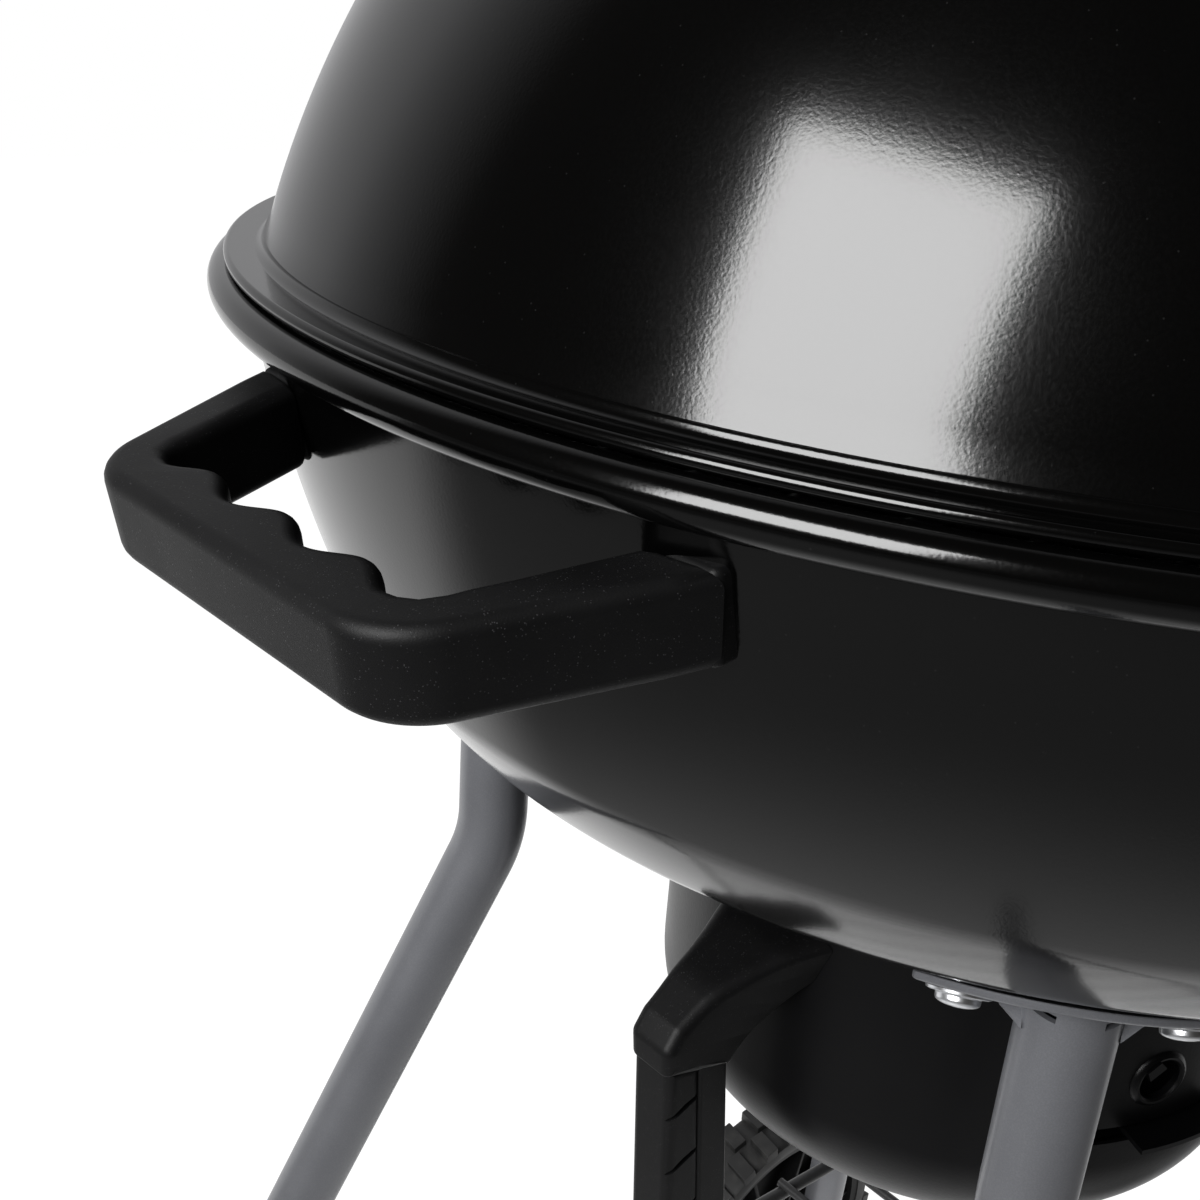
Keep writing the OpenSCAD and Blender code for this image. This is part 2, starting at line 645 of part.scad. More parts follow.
// One screw through each leg into the shelf's corner
module shelf_screws() color([0.8, 0.8, 0.82]) {
    for (s = [-1, 1]) {
        shelf_screw([-front_at[0] * cos(leg_azimuth), s * front_at[0] * sin(leg_azimuth)], [shelf_x0, s * shelf_y0]);
        shelf_screw([rear_at[0] * cos(leg_azimuth), s * rear_at[0] * sin(leg_azimuth)], [shelf_x1, s * shelf_y1]);
    }
}
module shelf_screw(leg_xy, corner_xy) {
    d = (leg_xy - corner_xy) / norm(leg_xy - corner_xy);
    out = leg_xy + d * (tube_r + 2);
    wire([corner_xy[0], corner_xy[1], shelf_z], [out[0], out[1], shelf_z], 2.5);
    head = out + d * 3;
    wire([out[0], out[1], shelf_z], [head[0], head[1], shelf_z], 5);
}

// ---------------------------------------------------------------- grates

module grate(radius, z, rods, handles) {
    translate([0, 0, rim_h + z]) {
        rotate_extrude($fn = 96) translate([radius - rod_d / 2, 0]) circle(d = rod_d, $fn = 24);
        for (i = [0:rods - 1]) {
            y = (i - (rods - 1) / 2) * 2 * radius / (rods + 1);
            half = sqrt(pow(radius - rod_d / 2, 2) - y * y);
            translate([-half, y, 0]) rotate([0, 90, 0]) cylinder(d = rod_d * 0.9, h = 2 * half, $fn = 16);
        }
        for (s = [-1, 1]) translate([s * radius * 0.45, 0, -rod_d * 0.8]) rotate([90, 0, 0])
            cylinder(d = rod_d, h = 1.76 * radius, center = true, $fn = 16);
        if (handles) for (s = [-1, 1]) translate([0, s * radius * (rods - 3) / (rods + 1), 0]) {
            for (t = [-1, 1]) translate([t * 22, 0, 0]) cylinder(d = rod_d, h = 16, $fn = 16);
            translate([-22, 0, 16]) rotate([0, 90, 0]) cylinder(d = rod_d, h = 44, $fn = 16);
        }
    }
}

module cooking_grate() color([0.7, 0.71, 0.72]) grate(cook_r - gap_grate, cook_z, grate_rods, true);
module charcoal_grate() color([0.5, 0.5, 0.52]) grate(coal_r - gap_grate, coal_z, 15, false);

// ---------------------------------------------------------------- ash pot

pot_r = pot_d / 2;
pot_top = cone_z(pot_r) - 1.55;
pot_bottom = pot_top - pot_h;
pot_round = 30;
pot_t = 1.2;
vent_z = pot_top - 35;
vent_azimuths = [-111, 9, 129];
lever_z = vent_z - 18;
boss_r = 9;

function pot_line(r, round_r, zb) = concat(
    [[r, pot_top]],
    [for (i = [0:8]) let (a = 90 * i / 8) [r - round_r + round_r * cos(a), zb + round_r - round_r * sin(a)]],
    [[0, zb]]);

module pot_solid(inset_by) {
    r = pot_r - inset_by;
    round_r = pot_round - inset_by;
    zb = pot_bottom + inset_by;
    rotate_extrude($fn = 96) polygon(concat([[0, pot_top + (inset_by > 0 ? 1 : 0)], [r, pot_top + (inset_by > 0 ? 1 : 0)]],
        tail(pot_line(r, round_r, zb))));
}

module ash_pot() color([0.06, 0.06, 0.065]) {
    translate([0, 0, rim_h]) difference() {
        union() {
            pot_solid(0);
            for (a = vent_azimuths) rotate([0, 0, a]) translate([pot_r - 3, 0, vent_z]) rotate([0, 90, 0])
                cylinder(r = boss_r, h = 4.5, $fn = 48);
        }
        pot_solid(pot_t);
        for (a = vent_azimuths) rotate([0, 0, a]) translate([pot_r - 8, 0, vent_z]) rotate([0, 90, 0])
            cylinder(r = boss_r - 3, h = 16, $fn = 48);
        rotate([0, 0, vent_azimuths[0] - 16]) translate([0, 0, lever_z - 2]) rotate_extrude(angle = 44, $fn = 96)
            translate([pot_r - 6, 0]) square([12, 4]);
    }
}

// Three spring hooks welded under the bowl hold the pot by its lip
module pot_hooks() color([0.6, 0.6, 0.62]) {
    for (a = [-131, -11, 109]) rotate([0, 0, a]) translate([0, 0, rim_h]) difference() {
        translate([pot_r + 2, -7, pot_top - 14]) cube([2, 14, 30]);
        bowl_inside(-weld);
    }
}

// A ring inside the pot with one window for each vent, turned by a lever that passes through the slot
damper_ring_r = pot_r - pot_t - gap_ring;
module pot_damper() color([0.08, 0.08, 0.08]) {
    translate([0, 0, rim_h]) {
        difference() {
            translate([0, 0, lever_z - 6]) difference() {
                cylinder(r = damper_ring_r, h = 36, $fn = 96);
                translate([0, 0, -1]) cylinder(r = damper_ring_r - 1.2, h = 40, $fn = 96);
            }
            for (a = vent_azimuths) rotate([0, 0, a]) translate([pot_r - 12, 0, vent_z]) rotate([0, 90, 0])
                cylinder(r = boss_r - 3, h = 16, $fn = 48);
        }
        rotate([0, 0, vent_azimuths[0] - 4]) translate([0, 0, lever_z - 0.8])
            rotate_extrude(angle = 20, $fn = 96) translate([damper_ring_r - 1, 0]) square([14, 1.6]);
    }
}

arm_w = 24;
grip_w = 20;
grip_d = 26;
grip_x = -pot_r - 27;
arm_top = pot_top - 2;

arm_flare = 44;
arm_drop = 48;
// The arm: a side outline in the XZ plane, from the pot's wall out to the shoulder over the grip, that
// spreads sideways towards the pot
module ash_arm() color([0.05, 0.05, 0.05]) {
    outer = grip_x - grip_d / 2 - 7;
    translate([0, 0, rim_h]) difference() {
        intersection() {
            translate([0, arm_flare / 2, 0]) rotate([90, 0, 0]) linear_extrude(arm_flare) polygon(concat(
                [[-pot_r + 6, arm_top], [-pot_r - 22, arm_top + 2]],
                arc_pts([outer + 12, arm_top - 6], [outer, arm_top - 20], -4, 5),
                [[outer + 2, arm_top - 30], [grip_x + grip_d / 2 + 1, arm_top - arm_drop + 10],
                 [-pot_r - 8, arm_top - arm_drop + 2], [-pot_r + 6, arm_top - arm_drop]]));
            translate([0, 0, arm_top - arm_drop - 5]) linear_extrude(arm_drop + 10) polygon([
                [-pot_r + 6, arm_flare / 2], [grip_x + grip_d / 2, arm_w / 2], [outer - 1, arm_w / 2],
                [outer - 1, -arm_w / 2], [grip_x + grip_d / 2, -arm_w / 2], [-pot_r + 6, -arm_flare / 2]]);
        }
        translate([0, 0, arm_top - 2 * arm_drop]) cylinder(r = pot_r + gap_body, h = 3 * arm_drop, $fn = 96);
        for (z = [arm_top - 12, arm_top - 36]) translate([-pot_r - 10, 0, z]) rotate([0, 90, 0])
            cylinder(r = 2, h = 20, $fn = 24);
    }
}

rib_pitch = 14;
grip_wall = 2.4;
grip_pocket = 6;
module ash_grip() color([0.05, 0.05, 0.05]) {
    top = arm_top - arm_drop + 22;
    ribs = floor((grip_len - 20) / rib_pitch);
    translate([grip_x, 0, rim_h + top]) difference() {
        translate([-grip_d / 2, -grip_w / 2, -grip_len]) cube([grip_d, grip_w, grip_len]);
        // room for the arm's sloping underside
        translate([-grip_d, -50, 0]) rotate([0, 12, 0]) cube([3 * grip_d, 100, 40]);
        for (s = [-1, 1], i = [0:ribs - 1])
            translate([-grip_d / 2 + 8, s * (grip_w / 2) - grip_pocket, -20 - (i + 1) * rib_pitch])
                cube([grip_d - 8 - grip_wall, 2 * grip_pocket, rib_pitch - 2]);
    }
}

module ash_screws() color([0.8, 0.8, 0.82]) {
    for (z = [arm_top - 12, arm_top - 36]) translate([-pot_r - 8, 0, rim_h + z]) rotate([0, 90, 0]) {
        cylinder(r = 1.95, h = 12, $fn = 24);
        translate([0, 0, 10]) cylinder(r = 4, h = 2.4, $fn = 32);
    }
}

lid_shell();
lid_handle();
lid_handle_posts();
lid_heat_shield();
lid_handle_screws();
lid_hook();
lid_damper();
lid_damper_rivet();
thermometer_case();
thermometer_dial();
thermometer_needle();
thermometer_lens();
thermometer_nut();
bowl_shell();
grate_brackets();
tow_handle();
tow_handle_brackets();
tow_handle_screws();
front_leg(FRONT_LEFT);  // leg_front_left
front_leg(FRONT_RIGHT);  // leg_front_right
rear_leg(REAR_LEFT);  // leg_rear_left
rear_leg(REAR_RIGHT);  // leg_rear_right
flange(FRONT_LEFT);  // flange_front_left
flange(FRONT_RIGHT);  // flange_front_right
flange(REAR_LEFT);  // flange_rear_left
flange(REAR_RIGHT);  // flange_rear_right
flange_screws();
flange_nuts();
foot(FRONT_LEFT);  // foot_left
foot(FRONT_RIGHT);  // foot_right
axle();
wheel(1);  // wheel_left
wheel(-1);  // wheel_right
tyre(1);  // tyre_left
tyre(-1);  // tyre_right
axle_cap(1);  // axle_cap_left
axle_cap(-1);  // axle_cap_right
shelf_rack();
shelf_screws();
cooking_grate();
charcoal_grate();
ash_pot();
pot_hooks();
pot_damper();
ash_arm();
ash_grip();
ash_screws();
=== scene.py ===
"""Looks of a kettle charcoal grill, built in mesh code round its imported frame."""

import logging
import math
from dataclasses import dataclass, field
from enum import Enum
from typing import Callable, Iterable, Sequence

import bmesh
import bpy
import numpy as np
from mathutils import Matrix, Vector


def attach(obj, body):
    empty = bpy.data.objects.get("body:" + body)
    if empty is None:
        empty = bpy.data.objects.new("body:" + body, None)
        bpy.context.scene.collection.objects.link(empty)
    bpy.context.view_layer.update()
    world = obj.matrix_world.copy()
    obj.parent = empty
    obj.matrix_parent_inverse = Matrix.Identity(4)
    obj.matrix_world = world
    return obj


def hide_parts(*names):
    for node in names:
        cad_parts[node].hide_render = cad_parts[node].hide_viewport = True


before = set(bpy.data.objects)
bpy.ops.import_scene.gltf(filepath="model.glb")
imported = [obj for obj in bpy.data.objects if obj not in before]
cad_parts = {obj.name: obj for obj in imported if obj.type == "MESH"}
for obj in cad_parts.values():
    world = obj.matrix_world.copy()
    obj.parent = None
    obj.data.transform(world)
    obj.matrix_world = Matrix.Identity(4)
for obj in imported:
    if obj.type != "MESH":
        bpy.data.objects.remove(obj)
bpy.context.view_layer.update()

LOG = logging.getLogger("grill")
MM = 0.001
RIM_Z = 800.0
Point = tuple[float, float]
Ring = list[Point]


class Side(Enum):
    """Sides of the grill as the cook's helper behind the towing handle sees them."""

    LEFT = 1
    RIGHT = -1


class Body(Enum):
    """Bodies of the frame that pieces ride on."""

    FRAME = "frame"
    LID = "lid"
    LID_DAMPER = "lid_damper"
    ASH_POT = "ash_pot"
    POT_DAMPER = "pot_damper"
    WHEEL_LEFT = "wheel_left"
    WHEEL_RIGHT = "wheel_right"


# ---------------------------------------------------------------- shader maths


class Value:
    """A shader socket that Python arithmetic can be written on."""

    def __init__(self, shade: "Shade", socket: bpy.types.NodeSocket) -> None:
        """Wraps one output socket of a shade's node tree."""
        self.shade = shade
        self.socket = socket

    def _math(self, operation: str, *operands: object) -> "Value":
        """Adds one Math node.

        Args:
            operation: The Math node's operation.
            operands: Values or numbers, in the order of the node's sockets.

        Returns:
            The node's result.
        """
        return self.shade.node("ShaderNodeMath", {"operation": operation}, dict(enumerate(operands)))

    def __add__(self, other: object) -> "Value":
        """Sum."""
        return self._math("ADD", self, other)

    def __sub__(self, other: object) -> "Value":
        """Difference."""
        return self._math("SUBTRACT", self, other)

    def __rsub__(self, other: object) -> "Value":
        """Reflected difference, so that 1 - mask works."""
        return self._math("SUBTRACT", other, self)

    def __mul__(self, other: object) -> "Value":
        """Product."""
        return self._math("MULTIPLY", self, other)

    def __truediv__(self, other: object) -> "Value":
        """Quotient."""
        return self._math("DIVIDE", self, other)

    def __pow__(self, other: object) -> "Value":
        """Power."""
        return self._math("POWER", self, other)

    __radd__ = __add__
    __rmul__ = __mul__

    def smaller(self, other: object) -> "Value":
        """The smaller of two values."""
        return self._math("MINIMUM", self, other)

    def larger(self, other: object) -> "Value":
        """The larger of two values."""
        return self._math("MAXIMUM", self, other)

    def absolute(self) -> "Value":
        """The value without its sign."""
        return self._math("ABSOLUTE", self)

    def wrap(self, low: float, high: float) -> "Value":
        """The value folded into a repeating range."""
        return self._math("WRAP", self, high, low)

    def step(self, low: float, high: float) -> "Value":
        """A soft step from 0 at low to 1 at high.

        Args:
            low: Where the step is still 0.
            high: Where the step has reached 1.

        Returns:
            The step's value.
        """
        return self.shade.node(
            "ShaderNodeMapRange",
            {"interpolation_type": "SMOOTHSTEP"},
            {0: self, 1: low, 2: high, 3: 0.0, 4: 1.0},
        )


class Shade:
    """A material under construction, with one Principled shader."""

    def __init__(self, name: str) -> None:
        """Starts a material with a Principled shader and object coordinates.

        Args:
            name: The material's name.
        """
        self.material = bpy.data.materials.new(name)
        self.material.use_nodes = True
        self.tree = self.material.node_tree
        self.shader = next(n for n in self.tree.nodes if n.type == "BSDF_PRINCIPLED")
        self.place = self.tree.nodes.new("ShaderNodeTexCoord").outputs["Object"]

    def node(
        self, kind: str, settings: dict[str, object], sockets: dict[object, object], out: object = 0
    ) -> Value:
        """Adds any node.

        Args:
            kind: The node's type.
            settings: Attributes that are set before the sockets, or "stops" for a ramp.
            sockets: Numbers, colours, sockets or Values by socket name or place.
            out: Name or place of the output that is returned.

        Returns:
            The chosen output.
        """
        made = self.tree.nodes.new(kind)
        for key, value in settings.items():
            if key == "stops":
                self._stops(made.color_ramp, value)
            else:
                setattr(made, key, value)
        for key, value in sockets.items():
            self._feed(made.inputs[key], value)
        return Value(self, made.outputs[out])

    def _stops(self, ramp: bpy.types.ColorRamp, stops: Sequence[tuple[float, tuple[float, ...]]]) -> None:
        """Gives a colour ramp its stops."""
        while len(ramp.elements) < len(stops):
            ramp.elements.new(0.5)
        for element, (position, colour) in zip(ramp.elements, stops):
            element.position = position
            element.color = (*colour, 1.0)

    def _feed(self, socket: bpy.types.NodeSocket, value: object) -> None:
        """Links or sets one input socket."""
        if isinstance(value, Value):
            self.tree.links.new(value.socket, socket)
        elif isinstance(value, bpy.types.NodeSocket):
            self.tree.links.new(value, socket)
        else:
            socket.default_value = value

    def noise(
        self, scale: float, detail: float = 3.0, rough: float = 0.5, stretch: Sequence[float] = (1, 1, 1)
    ) -> Value:
        """Cloudy noise over the object, from 0 to 1.

        Args:
            scale: Clouds per metre.
            detail: Octaves.
            rough: Weight of the finer octaves.
            stretch: How much finer the clouds are along each axis.

        Returns:
            The noise's value.
        """
        place: object = self.place
        if tuple(stretch) != (1, 1, 1):
            place = self.vector("MULTIPLY", self.place, tuple(stretch))
        sockets = {"Vector": place, "Scale": scale, "Detail": detail, "Roughness": rough}
        return self.node("ShaderNodeTexNoise", {}, sockets, "Fac")

    def vector(self, operation: str, first: object, second: object = None, out: object = 0) -> Value:
        """Adds one Vector Math node.

        Args:
            operation: The node's operation.
            first: Its first vector.
            second: Its second vector, where the operation takes one.
            out: Name or place of the output that is returned.

        Returns:
            The chosen output.
        """
        sockets = {0: first} if second is None else {0: first, 1: second}
        return self.node("ShaderNodeVectorMath", {"operation": operation}, sockets, out)

    def along(self, direction: Sequence[float], start: object = None) -> Value:
        """Distance along a direction, from the origin or from a vector Value."""
        return self.vector("DOT_PRODUCT", self.place if start is None else start, tuple(direction), "Value")

    def grains(self, scale: float) -> Value:
        """Distance to the nearest of many scattered grains, in grain spacings."""
        return self.node("ShaderNodeTexVoronoi", {}, {"Vector": self.place, "Scale": scale}, "Distance")

    def mix(self, factor: Value, low: Sequence[float], high: Sequence[float]) -> Value:
        """Mixes two colours.

        Args:
            factor: 0 for the first colour, 1 for the second.
            low: The first colour, or a Value that carries one.
            high: The second colour.

        Returns:
            The mixed colour.
        """
        ends = [c if isinstance(c, Value) else (*c, 1.0) for c in (low, high)]
        return self.node(
            "ShaderNodeMix", {"data_type": "RGBA"}, {0: factor, 6: ends[0], 7: ends[1]}, 2
        )

    def bump(self, height: Value, depth: float, strength: float = 1.0) -> None:
        """Raises the surface by a height of depth metres at 1."""
        sockets = {"Height": height, "Distance": depth, "Strength": strength}
        normal = self.node("ShaderNodeBump", {}, sockets, "Normal")
        self.tree.links.new(normal.socket, self.shader.inputs["Normal"])

    def surface(self, **sockets: object) -> bpy.types.Material:
        """Sets the shader's sockets, named with underscores for spaces, and returns the material."""
        for key, value in sockets.items():
            self._feed(self.shader.inputs[key.replace("_", " ")], value)
        return self.material


# ---------------------------------------------------------------- finishes


@dataclass(frozen=True)
class Finish:
    """A finish of the record, with its material made once."""

    slot: str

    def paint(self, shade: Shade) -> bpy.types.Material:
        """Wires the material; each finish has its own."""
        raise NotImplementedError

    def material(self) -> bpy.types.Material:
        """The finish's material, made when it is first asked for."""
        name = f"{self.slot}_{type(self).__name__.lower()}"
        return bpy.data.materials.get(name) or self.paint(Shade(name))


@dataclass(frozen=True)
class Enamel(Finish):
    """Fired glossy black enamel with a slight orange peel and a few grains of dust."""

    slot: str = "black_enamel"
    peel: float = 1500.0

    def paint(self, shade: Shade) -> bpy.types.Material:
        """Wires the enamel."""
        peel = shade.noise(self.peel, 2.0, 0.45)
        sag = shade.noise(14.0, 1.0, 0.3)
        cloud = shade.noise(22.0, 3.0, 0.6)
        dust = 1.0 - shade.grains(330.0).step(0.03, 0.07)
        shade.bump(peel * 0.55 + sag * 4.0 + dust * 0.2, 0.00002, 1.0)
        return shade.surface(
            Base_Color=shade.mix(dust * 0.5, (0.0006, 0.0006, 0.0006), (0.012, 0.012, 0.012)),
            Roughness=cloud * 0.04 + peel * 0.05 + 0.085,
            IOR=1.38,
        )


@dataclass(frozen=True)
class SatinBlack(Finish):
    """Satin heat-proof black on the ash pot."""

    slot: str = "black_paint"

    def paint(self, shade: Shade) -> bpy.types.Material:
        """Wires the satin black."""
        grain = shade.noise(900.0, 2.0)
        cloud = shade.noise(30.0, 3.0)
        shade.bump(grain + cloud * 2.0, 0.00003)
        return shade.surface(
            Base_Color=shade.mix(cloud, (0.0010, 0.0010, 0.0012), (0.002, 0.002, 0.0022)),
            Roughness=cloud * 0.10 + grain * 0.06 + 0.27,
            IOR=1.26,
        )


@dataclass(frozen=True)
class MouldedPlastic(Finish):
    """Matt black moulded plastic with a fine spark-eroded grain."""

    slot: str = "black_plastic"

    def paint(self, shade: Shade) -> bpy.types.Material:
        """Wires the plastic."""
        grain = shade.noise(2600.0, 3.0, 0.6)
        glints = (1.0 - shade.grains(1500.0).step(0.10, 0.24)) * shade.noise(500.0).step(0.45, 0.6)
        wear = shade.noise(35.0, 4.0, 0.6)
        shade.bump(grain + glints * 0.6, 0.00004, 0.9)
        return shade.surface(
            Base_Color=shade.mix(glints * 0.8 + wear * 0.12, (0.0010, 0.0010, 0.0011), (0.030, 0.030, 0.031)),
            Roughness=wear * 0.14 + 0.43 - glints * 0.12,
            IOR=1.42,
            Specular_IOR_Level=0.20,
        )


@dataclass(frozen=True)
class SilverPaint(Finish):
    """Silver-grey powder coat of the leg tubes and flanges."""

    slot: str = "grey_paint"

    def paint(self, shade: Shade) -> bpy.types.Material:
        """Wires the powder coat."""
        flake = shade.grains(2600.0)
        cloud = shade.noise(40.0, 3.0)
        grain = shade.noise(1200.0, 2.0)
        shade.bump(grain, 0.00003)
        return shade.surface(
            Base_Color=shade.mix(flake * 0.35 + cloud * 0.5, (0.100, 0.102, 0.112), (0.180, 0.184, 0.197)),
            Metallic=0.55,
            Roughness=cloud * 0.08 + 0.40,
            Coat_Weight=0.15,
        )


@dataclass(frozen=True)
class Plated(Finish):
    """Plated or bare steel: a tint, a roughness and the direction of its polish."""

    slot: str = "zinc"
    tint: tuple[float, float, float] = (0.74, 0.75, 0.77)
    rough: float = 0.2
    grain: tuple[float, float, float] = (1.0, 1.0, 6.0)

    def paint(self, shade: Shade) -> bpy.types.Material:
        """Wires the metal."""
        polish = shade.noise(300.0, 3.0, 0.6, self.grain)
        stain = shade.noise(45.0, 4.0, 0.6)
        dark = tuple(c * 0.62 for c in self.tint)
        shade.bump(polish, 0.00002, 0.6)
        return shade.surface(
            Base_Color=shade.mix(stain.step(0.3, 0.7), self.tint, dark),
            Metallic=1.0,
            Roughness=polish * 0.16 + stain * 0.08 + self.rough,
        )


@dataclass(frozen=True)
class BlackWire(Finish):
    """Black powder coat on the shelf's wires."""

    slot: str = "black_steel"

    def paint(self, shade: Shade) -> bpy.types.Material:
        """Wires the coat."""
        grain = shade.noise(800.0, 2.0)
        shade.bump(grain, 0.00005)
        return shade.surface(
            Base_Color=shade.mix(grain, (0.010, 0.010, 0.010), (0.020, 0.020, 0.021)),
            Roughness=grain * 0.12 + 0.36,
        )


@dataclass(frozen=True)
class Rubber(Finish):
    """Dull black tyre with dusty grain."""

    slot: str = "rubber_tread"

    def paint(self, shade: Shade) -> bpy.types.Material:
        """Wires the rubber."""
        grain = shade.noise(1400.0, 3.0)
        dust = shade.noise(60.0, 4.0, 0.65).step(0.45, 0.75)
        shade.bump(grain, 0.00006)
        return shade.surface(
            Base_Color=shade.mix(dust * 0.6, (0.009, 0.009, 0.009), (0.035, 0.034, 0.032)),
            Roughness=dust * 0.15 + 0.55,
        )


@dataclass(frozen=True)
class Dial(Finish):
    """White thermometer face with plain ticks and a red band at the hot end."""

    slot: str = "dial_white"
    centre: tuple[float, float, float] = (0.0, 0.0, 0.0)
    across: tuple[float, float, float] = (1.0, 0.0, 0.0)
    upward: tuple[float, float, float] = (0.0, 1.0, 0.0)

    def paint(self, shade: Shade) -> bpy.types.Material:
        """Wires the dial from two distances along its own axes."""
        away = shade.vector("SUBTRACT", shade.place, self.centre)
        x, y = shade.along(self.across, away), shade.along(self.upward, away)
        reach = (x * x + y * y) ** 0.5
        turn = shade.node("ShaderNodeMath", {"operation": "ARCTAN2"}, {0: x, 1: y})
        live = 1.0 - turn.absolute().step(2.12, 2.14)
        tick = 1.0 - turn.wrap(-0.0875, 0.0875).absolute().step(0.008, 0.013)
        ring = reach.step(0.0185, 0.0187) * (1.0 - reach.step(0.0222, 0.0224))
        band = reach.step(0.0150, 0.0152) * (1.0 - reach.step(0.0172, 0.0174)) * turn.step(0.9, 0.92) * live
        face = shade.mix(tick * ring * live, (0.86, 0.86, 0.84), (0.02, 0.02, 0.02))
        return shade.surface(Base_Color=shade.mix(band, face, (0.62, 0.05, 0.03)), Roughness=0.35)


@dataclass(frozen=True)
class RedPaint(Finish):
    """Red lacquer of the needle."""

    slot: str = "needle_red"

    def paint(self, shade: Shade) -> bpy.types.Material:
        """Wires the lacquer."""
        return shade.surface(
            Base_Color=shade.mix(shade.noise(300.0), (0.50, 0.02, 0.015), (0.60, 0.04, 0.02)), Roughness=0.3
        )


@dataclass(frozen=True)
class Glass(Finish):
    """Clear lens over the dial."""

    slot: str = "clear_glass"

    def paint(self, shade: Shade) -> bpy.types.Material:
        """Wires the glass, which lets the dial show through."""
        return shade.surface(
            Base_Color=(0.95, 0.97, 0.98, 1.0),
            Roughness=shade.noise(60.0) * 0.03 + 0.02,
            Alpha=0.16,
            IOR=1.5,
        )


ENAMEL = Enamel()
POT_BLACK = SatinBlack()
PLASTIC = MouldedPlastic()
SILVER = SilverPaint()
ZINC = Plated()
STEEL = Plated("bright_steel", (0.62, 0.63, 0.64), 0.22, (6.0, 1.0, 1.0))
WIRE = BlackWire()
RUBBER = Rubber()


# ---------------------------------------------------------------- mesh making


def mesh_object(
    name: str, verts: Iterable[Sequence[float]], faces: Iterable[Sequence[int]]
) -> bpy.types.Object:
    """Makes an object from vertices in millimetres.

    Args:
        name: The piece's name.
        verts: Places in millimetres.
        faces: Rows of vertex numbers.

    Returns:
        The new object, linked into the scene.
    """
    mesh = bpy.data.meshes.new(name)
    mesh.from_pydata([tuple(c * MM for c in v) for v in verts], [], [tuple(f) for f in faces])
    mesh.validate()
    obj = bpy.data.objects.new(name, mesh)
    bpy.context.collection.objects.link(obj)
    return obj


def edit(obj: bpy.types.Object, work: Callable[[bmesh.types.BMesh], object]) -> bpy.types.Object:
    """Runs one piece of work on an object's mesh through bmesh."""
    bm = bmesh.new()
    bm.from_mesh(obj.data)
    work(bm)
    bm.to_mesh(obj.data)
    bm.free()
    return obj


def outward(obj: bpy.types.Object) -> bpy.types.Object:
    """Welds doubled vertices and turns every face outward."""

    def work(bm: bmesh.types.BMesh) -> None:
        """Welds and turns."""
        bmesh.ops.remove_doubles(bm, verts=bm.verts, dist=1e-6)
        bmesh.ops.recalc_face_normals(bm, faces=bm.faces)

    return edit(obj, work)


def prism(name: str, corners: Sequence[Sequence[float]]) -> bpy.types.Object:
    """A six-sided solid between two four-cornered ends, in millimetres."""
    sides = [(i, (i + 1) % 4, (i + 1) % 4 + 4, i + 4) for i in range(4)]
    return outward(mesh_object(name, corners, [(3, 2, 1, 0), (4, 5, 6, 7), *sides]))


def slice_at(
    bm: bmesh.types.BMesh, at: Sequence[float], normal: Sequence[float], clear: bool = False
) -> None:
    """Cuts new edges where a plane crosses a mesh, and can clear what lies beyond it."""
    geometry = [*bm.verts, *bm.edges, *bm.faces]
    bmesh.ops.bisect_plane(bm, geom=geometry, plane_co=at, plane_no=normal, clear_outer=clear)


def apply_all(obj: bpy.types.Object) -> bpy.types.Object:
    """Bakes an object's modifiers into its mesh."""
    seen = obj.evaluated_get(bpy.context.evaluated_depsgraph_get())
    mesh = bpy.data.meshes.new_from_object(seen)
    obj.modifiers.clear()
    obj.data = mesh
    return obj


def smooth(obj: bpy.types.Object, angle: float = 35.0) -> bpy.types.Object:
    """Shades smooth except over edges sharper than angle, with flat faces kept flat.

    Args:
        obj: The piece.
        angle: Degrees from which an edge stays sharp.

    Returns:
        The same piece.
    """
    obj.data.shade_smooth()
    obj.data.set_sharp_from_angle(angle=math.radians(angle))
    weight = obj.modifiers.new("weight", "WEIGHTED_NORMAL")
    weight.keep_sharp = True
    return apply_all(obj)


def bevel(obj: bpy.types.Object, width: float, segments: int = 3, angle: float = 40.0) -> bpy.types.Object:
    """Rounds the sharp edges by width millimetres."""
    made = obj.modifiers.new("bevel", "BEVEL")
    made.width = width * MM
    made.segments = segments
    made.limit_method = "ANGLE"
    made.angle_limit = math.radians(angle)
    made.use_clamp_overlap = True
    return apply_all(obj)


def cut(obj: bpy.types.Object, *tools: bpy.types.Object) -> bpy.types.Object:
    """Cuts tools out of a piece and removes them."""
    for tool in tools:
        made = obj.modifiers.new("cut", "BOOLEAN")
        made.operation = "DIFFERENCE"
        made.solver = "EXACT"
        made.object = tool
        bpy.context.view_layer.update()
        apply_all(obj)
        bpy.data.objects.remove(tool)
    return obj


def join(name: str, *parts: bpy.types.Object) -> bpy.types.Object:
    """Joins objects into one piece that keeps each one's materials."""
    first = parts[0]
    first.name = name
    if len(parts) > 1:
        with bpy.context.temp_override(active_object=first, selected_editable_objects=list(parts)):
            bpy.ops.object.join()
    return first


def place(obj: bpy.types.Object, at: Matrix) -> bpy.types.Object:
    """Moves a mesh by a matrix in metres and leaves its object at the origin."""
    obj.data.transform(at)
    obj.data.update()
    return obj


def shift(x: float, y: float, z: float) -> Matrix:
    """A shift in millimetres."""
    return Matrix.Translation((x * MM, y * MM, z * MM))


def turn(degrees: float, axis: str = "Z") -> Matrix:
    """A turn about one axis."""
    return Matrix.Rotation(math.radians(degrees), 4, axis)


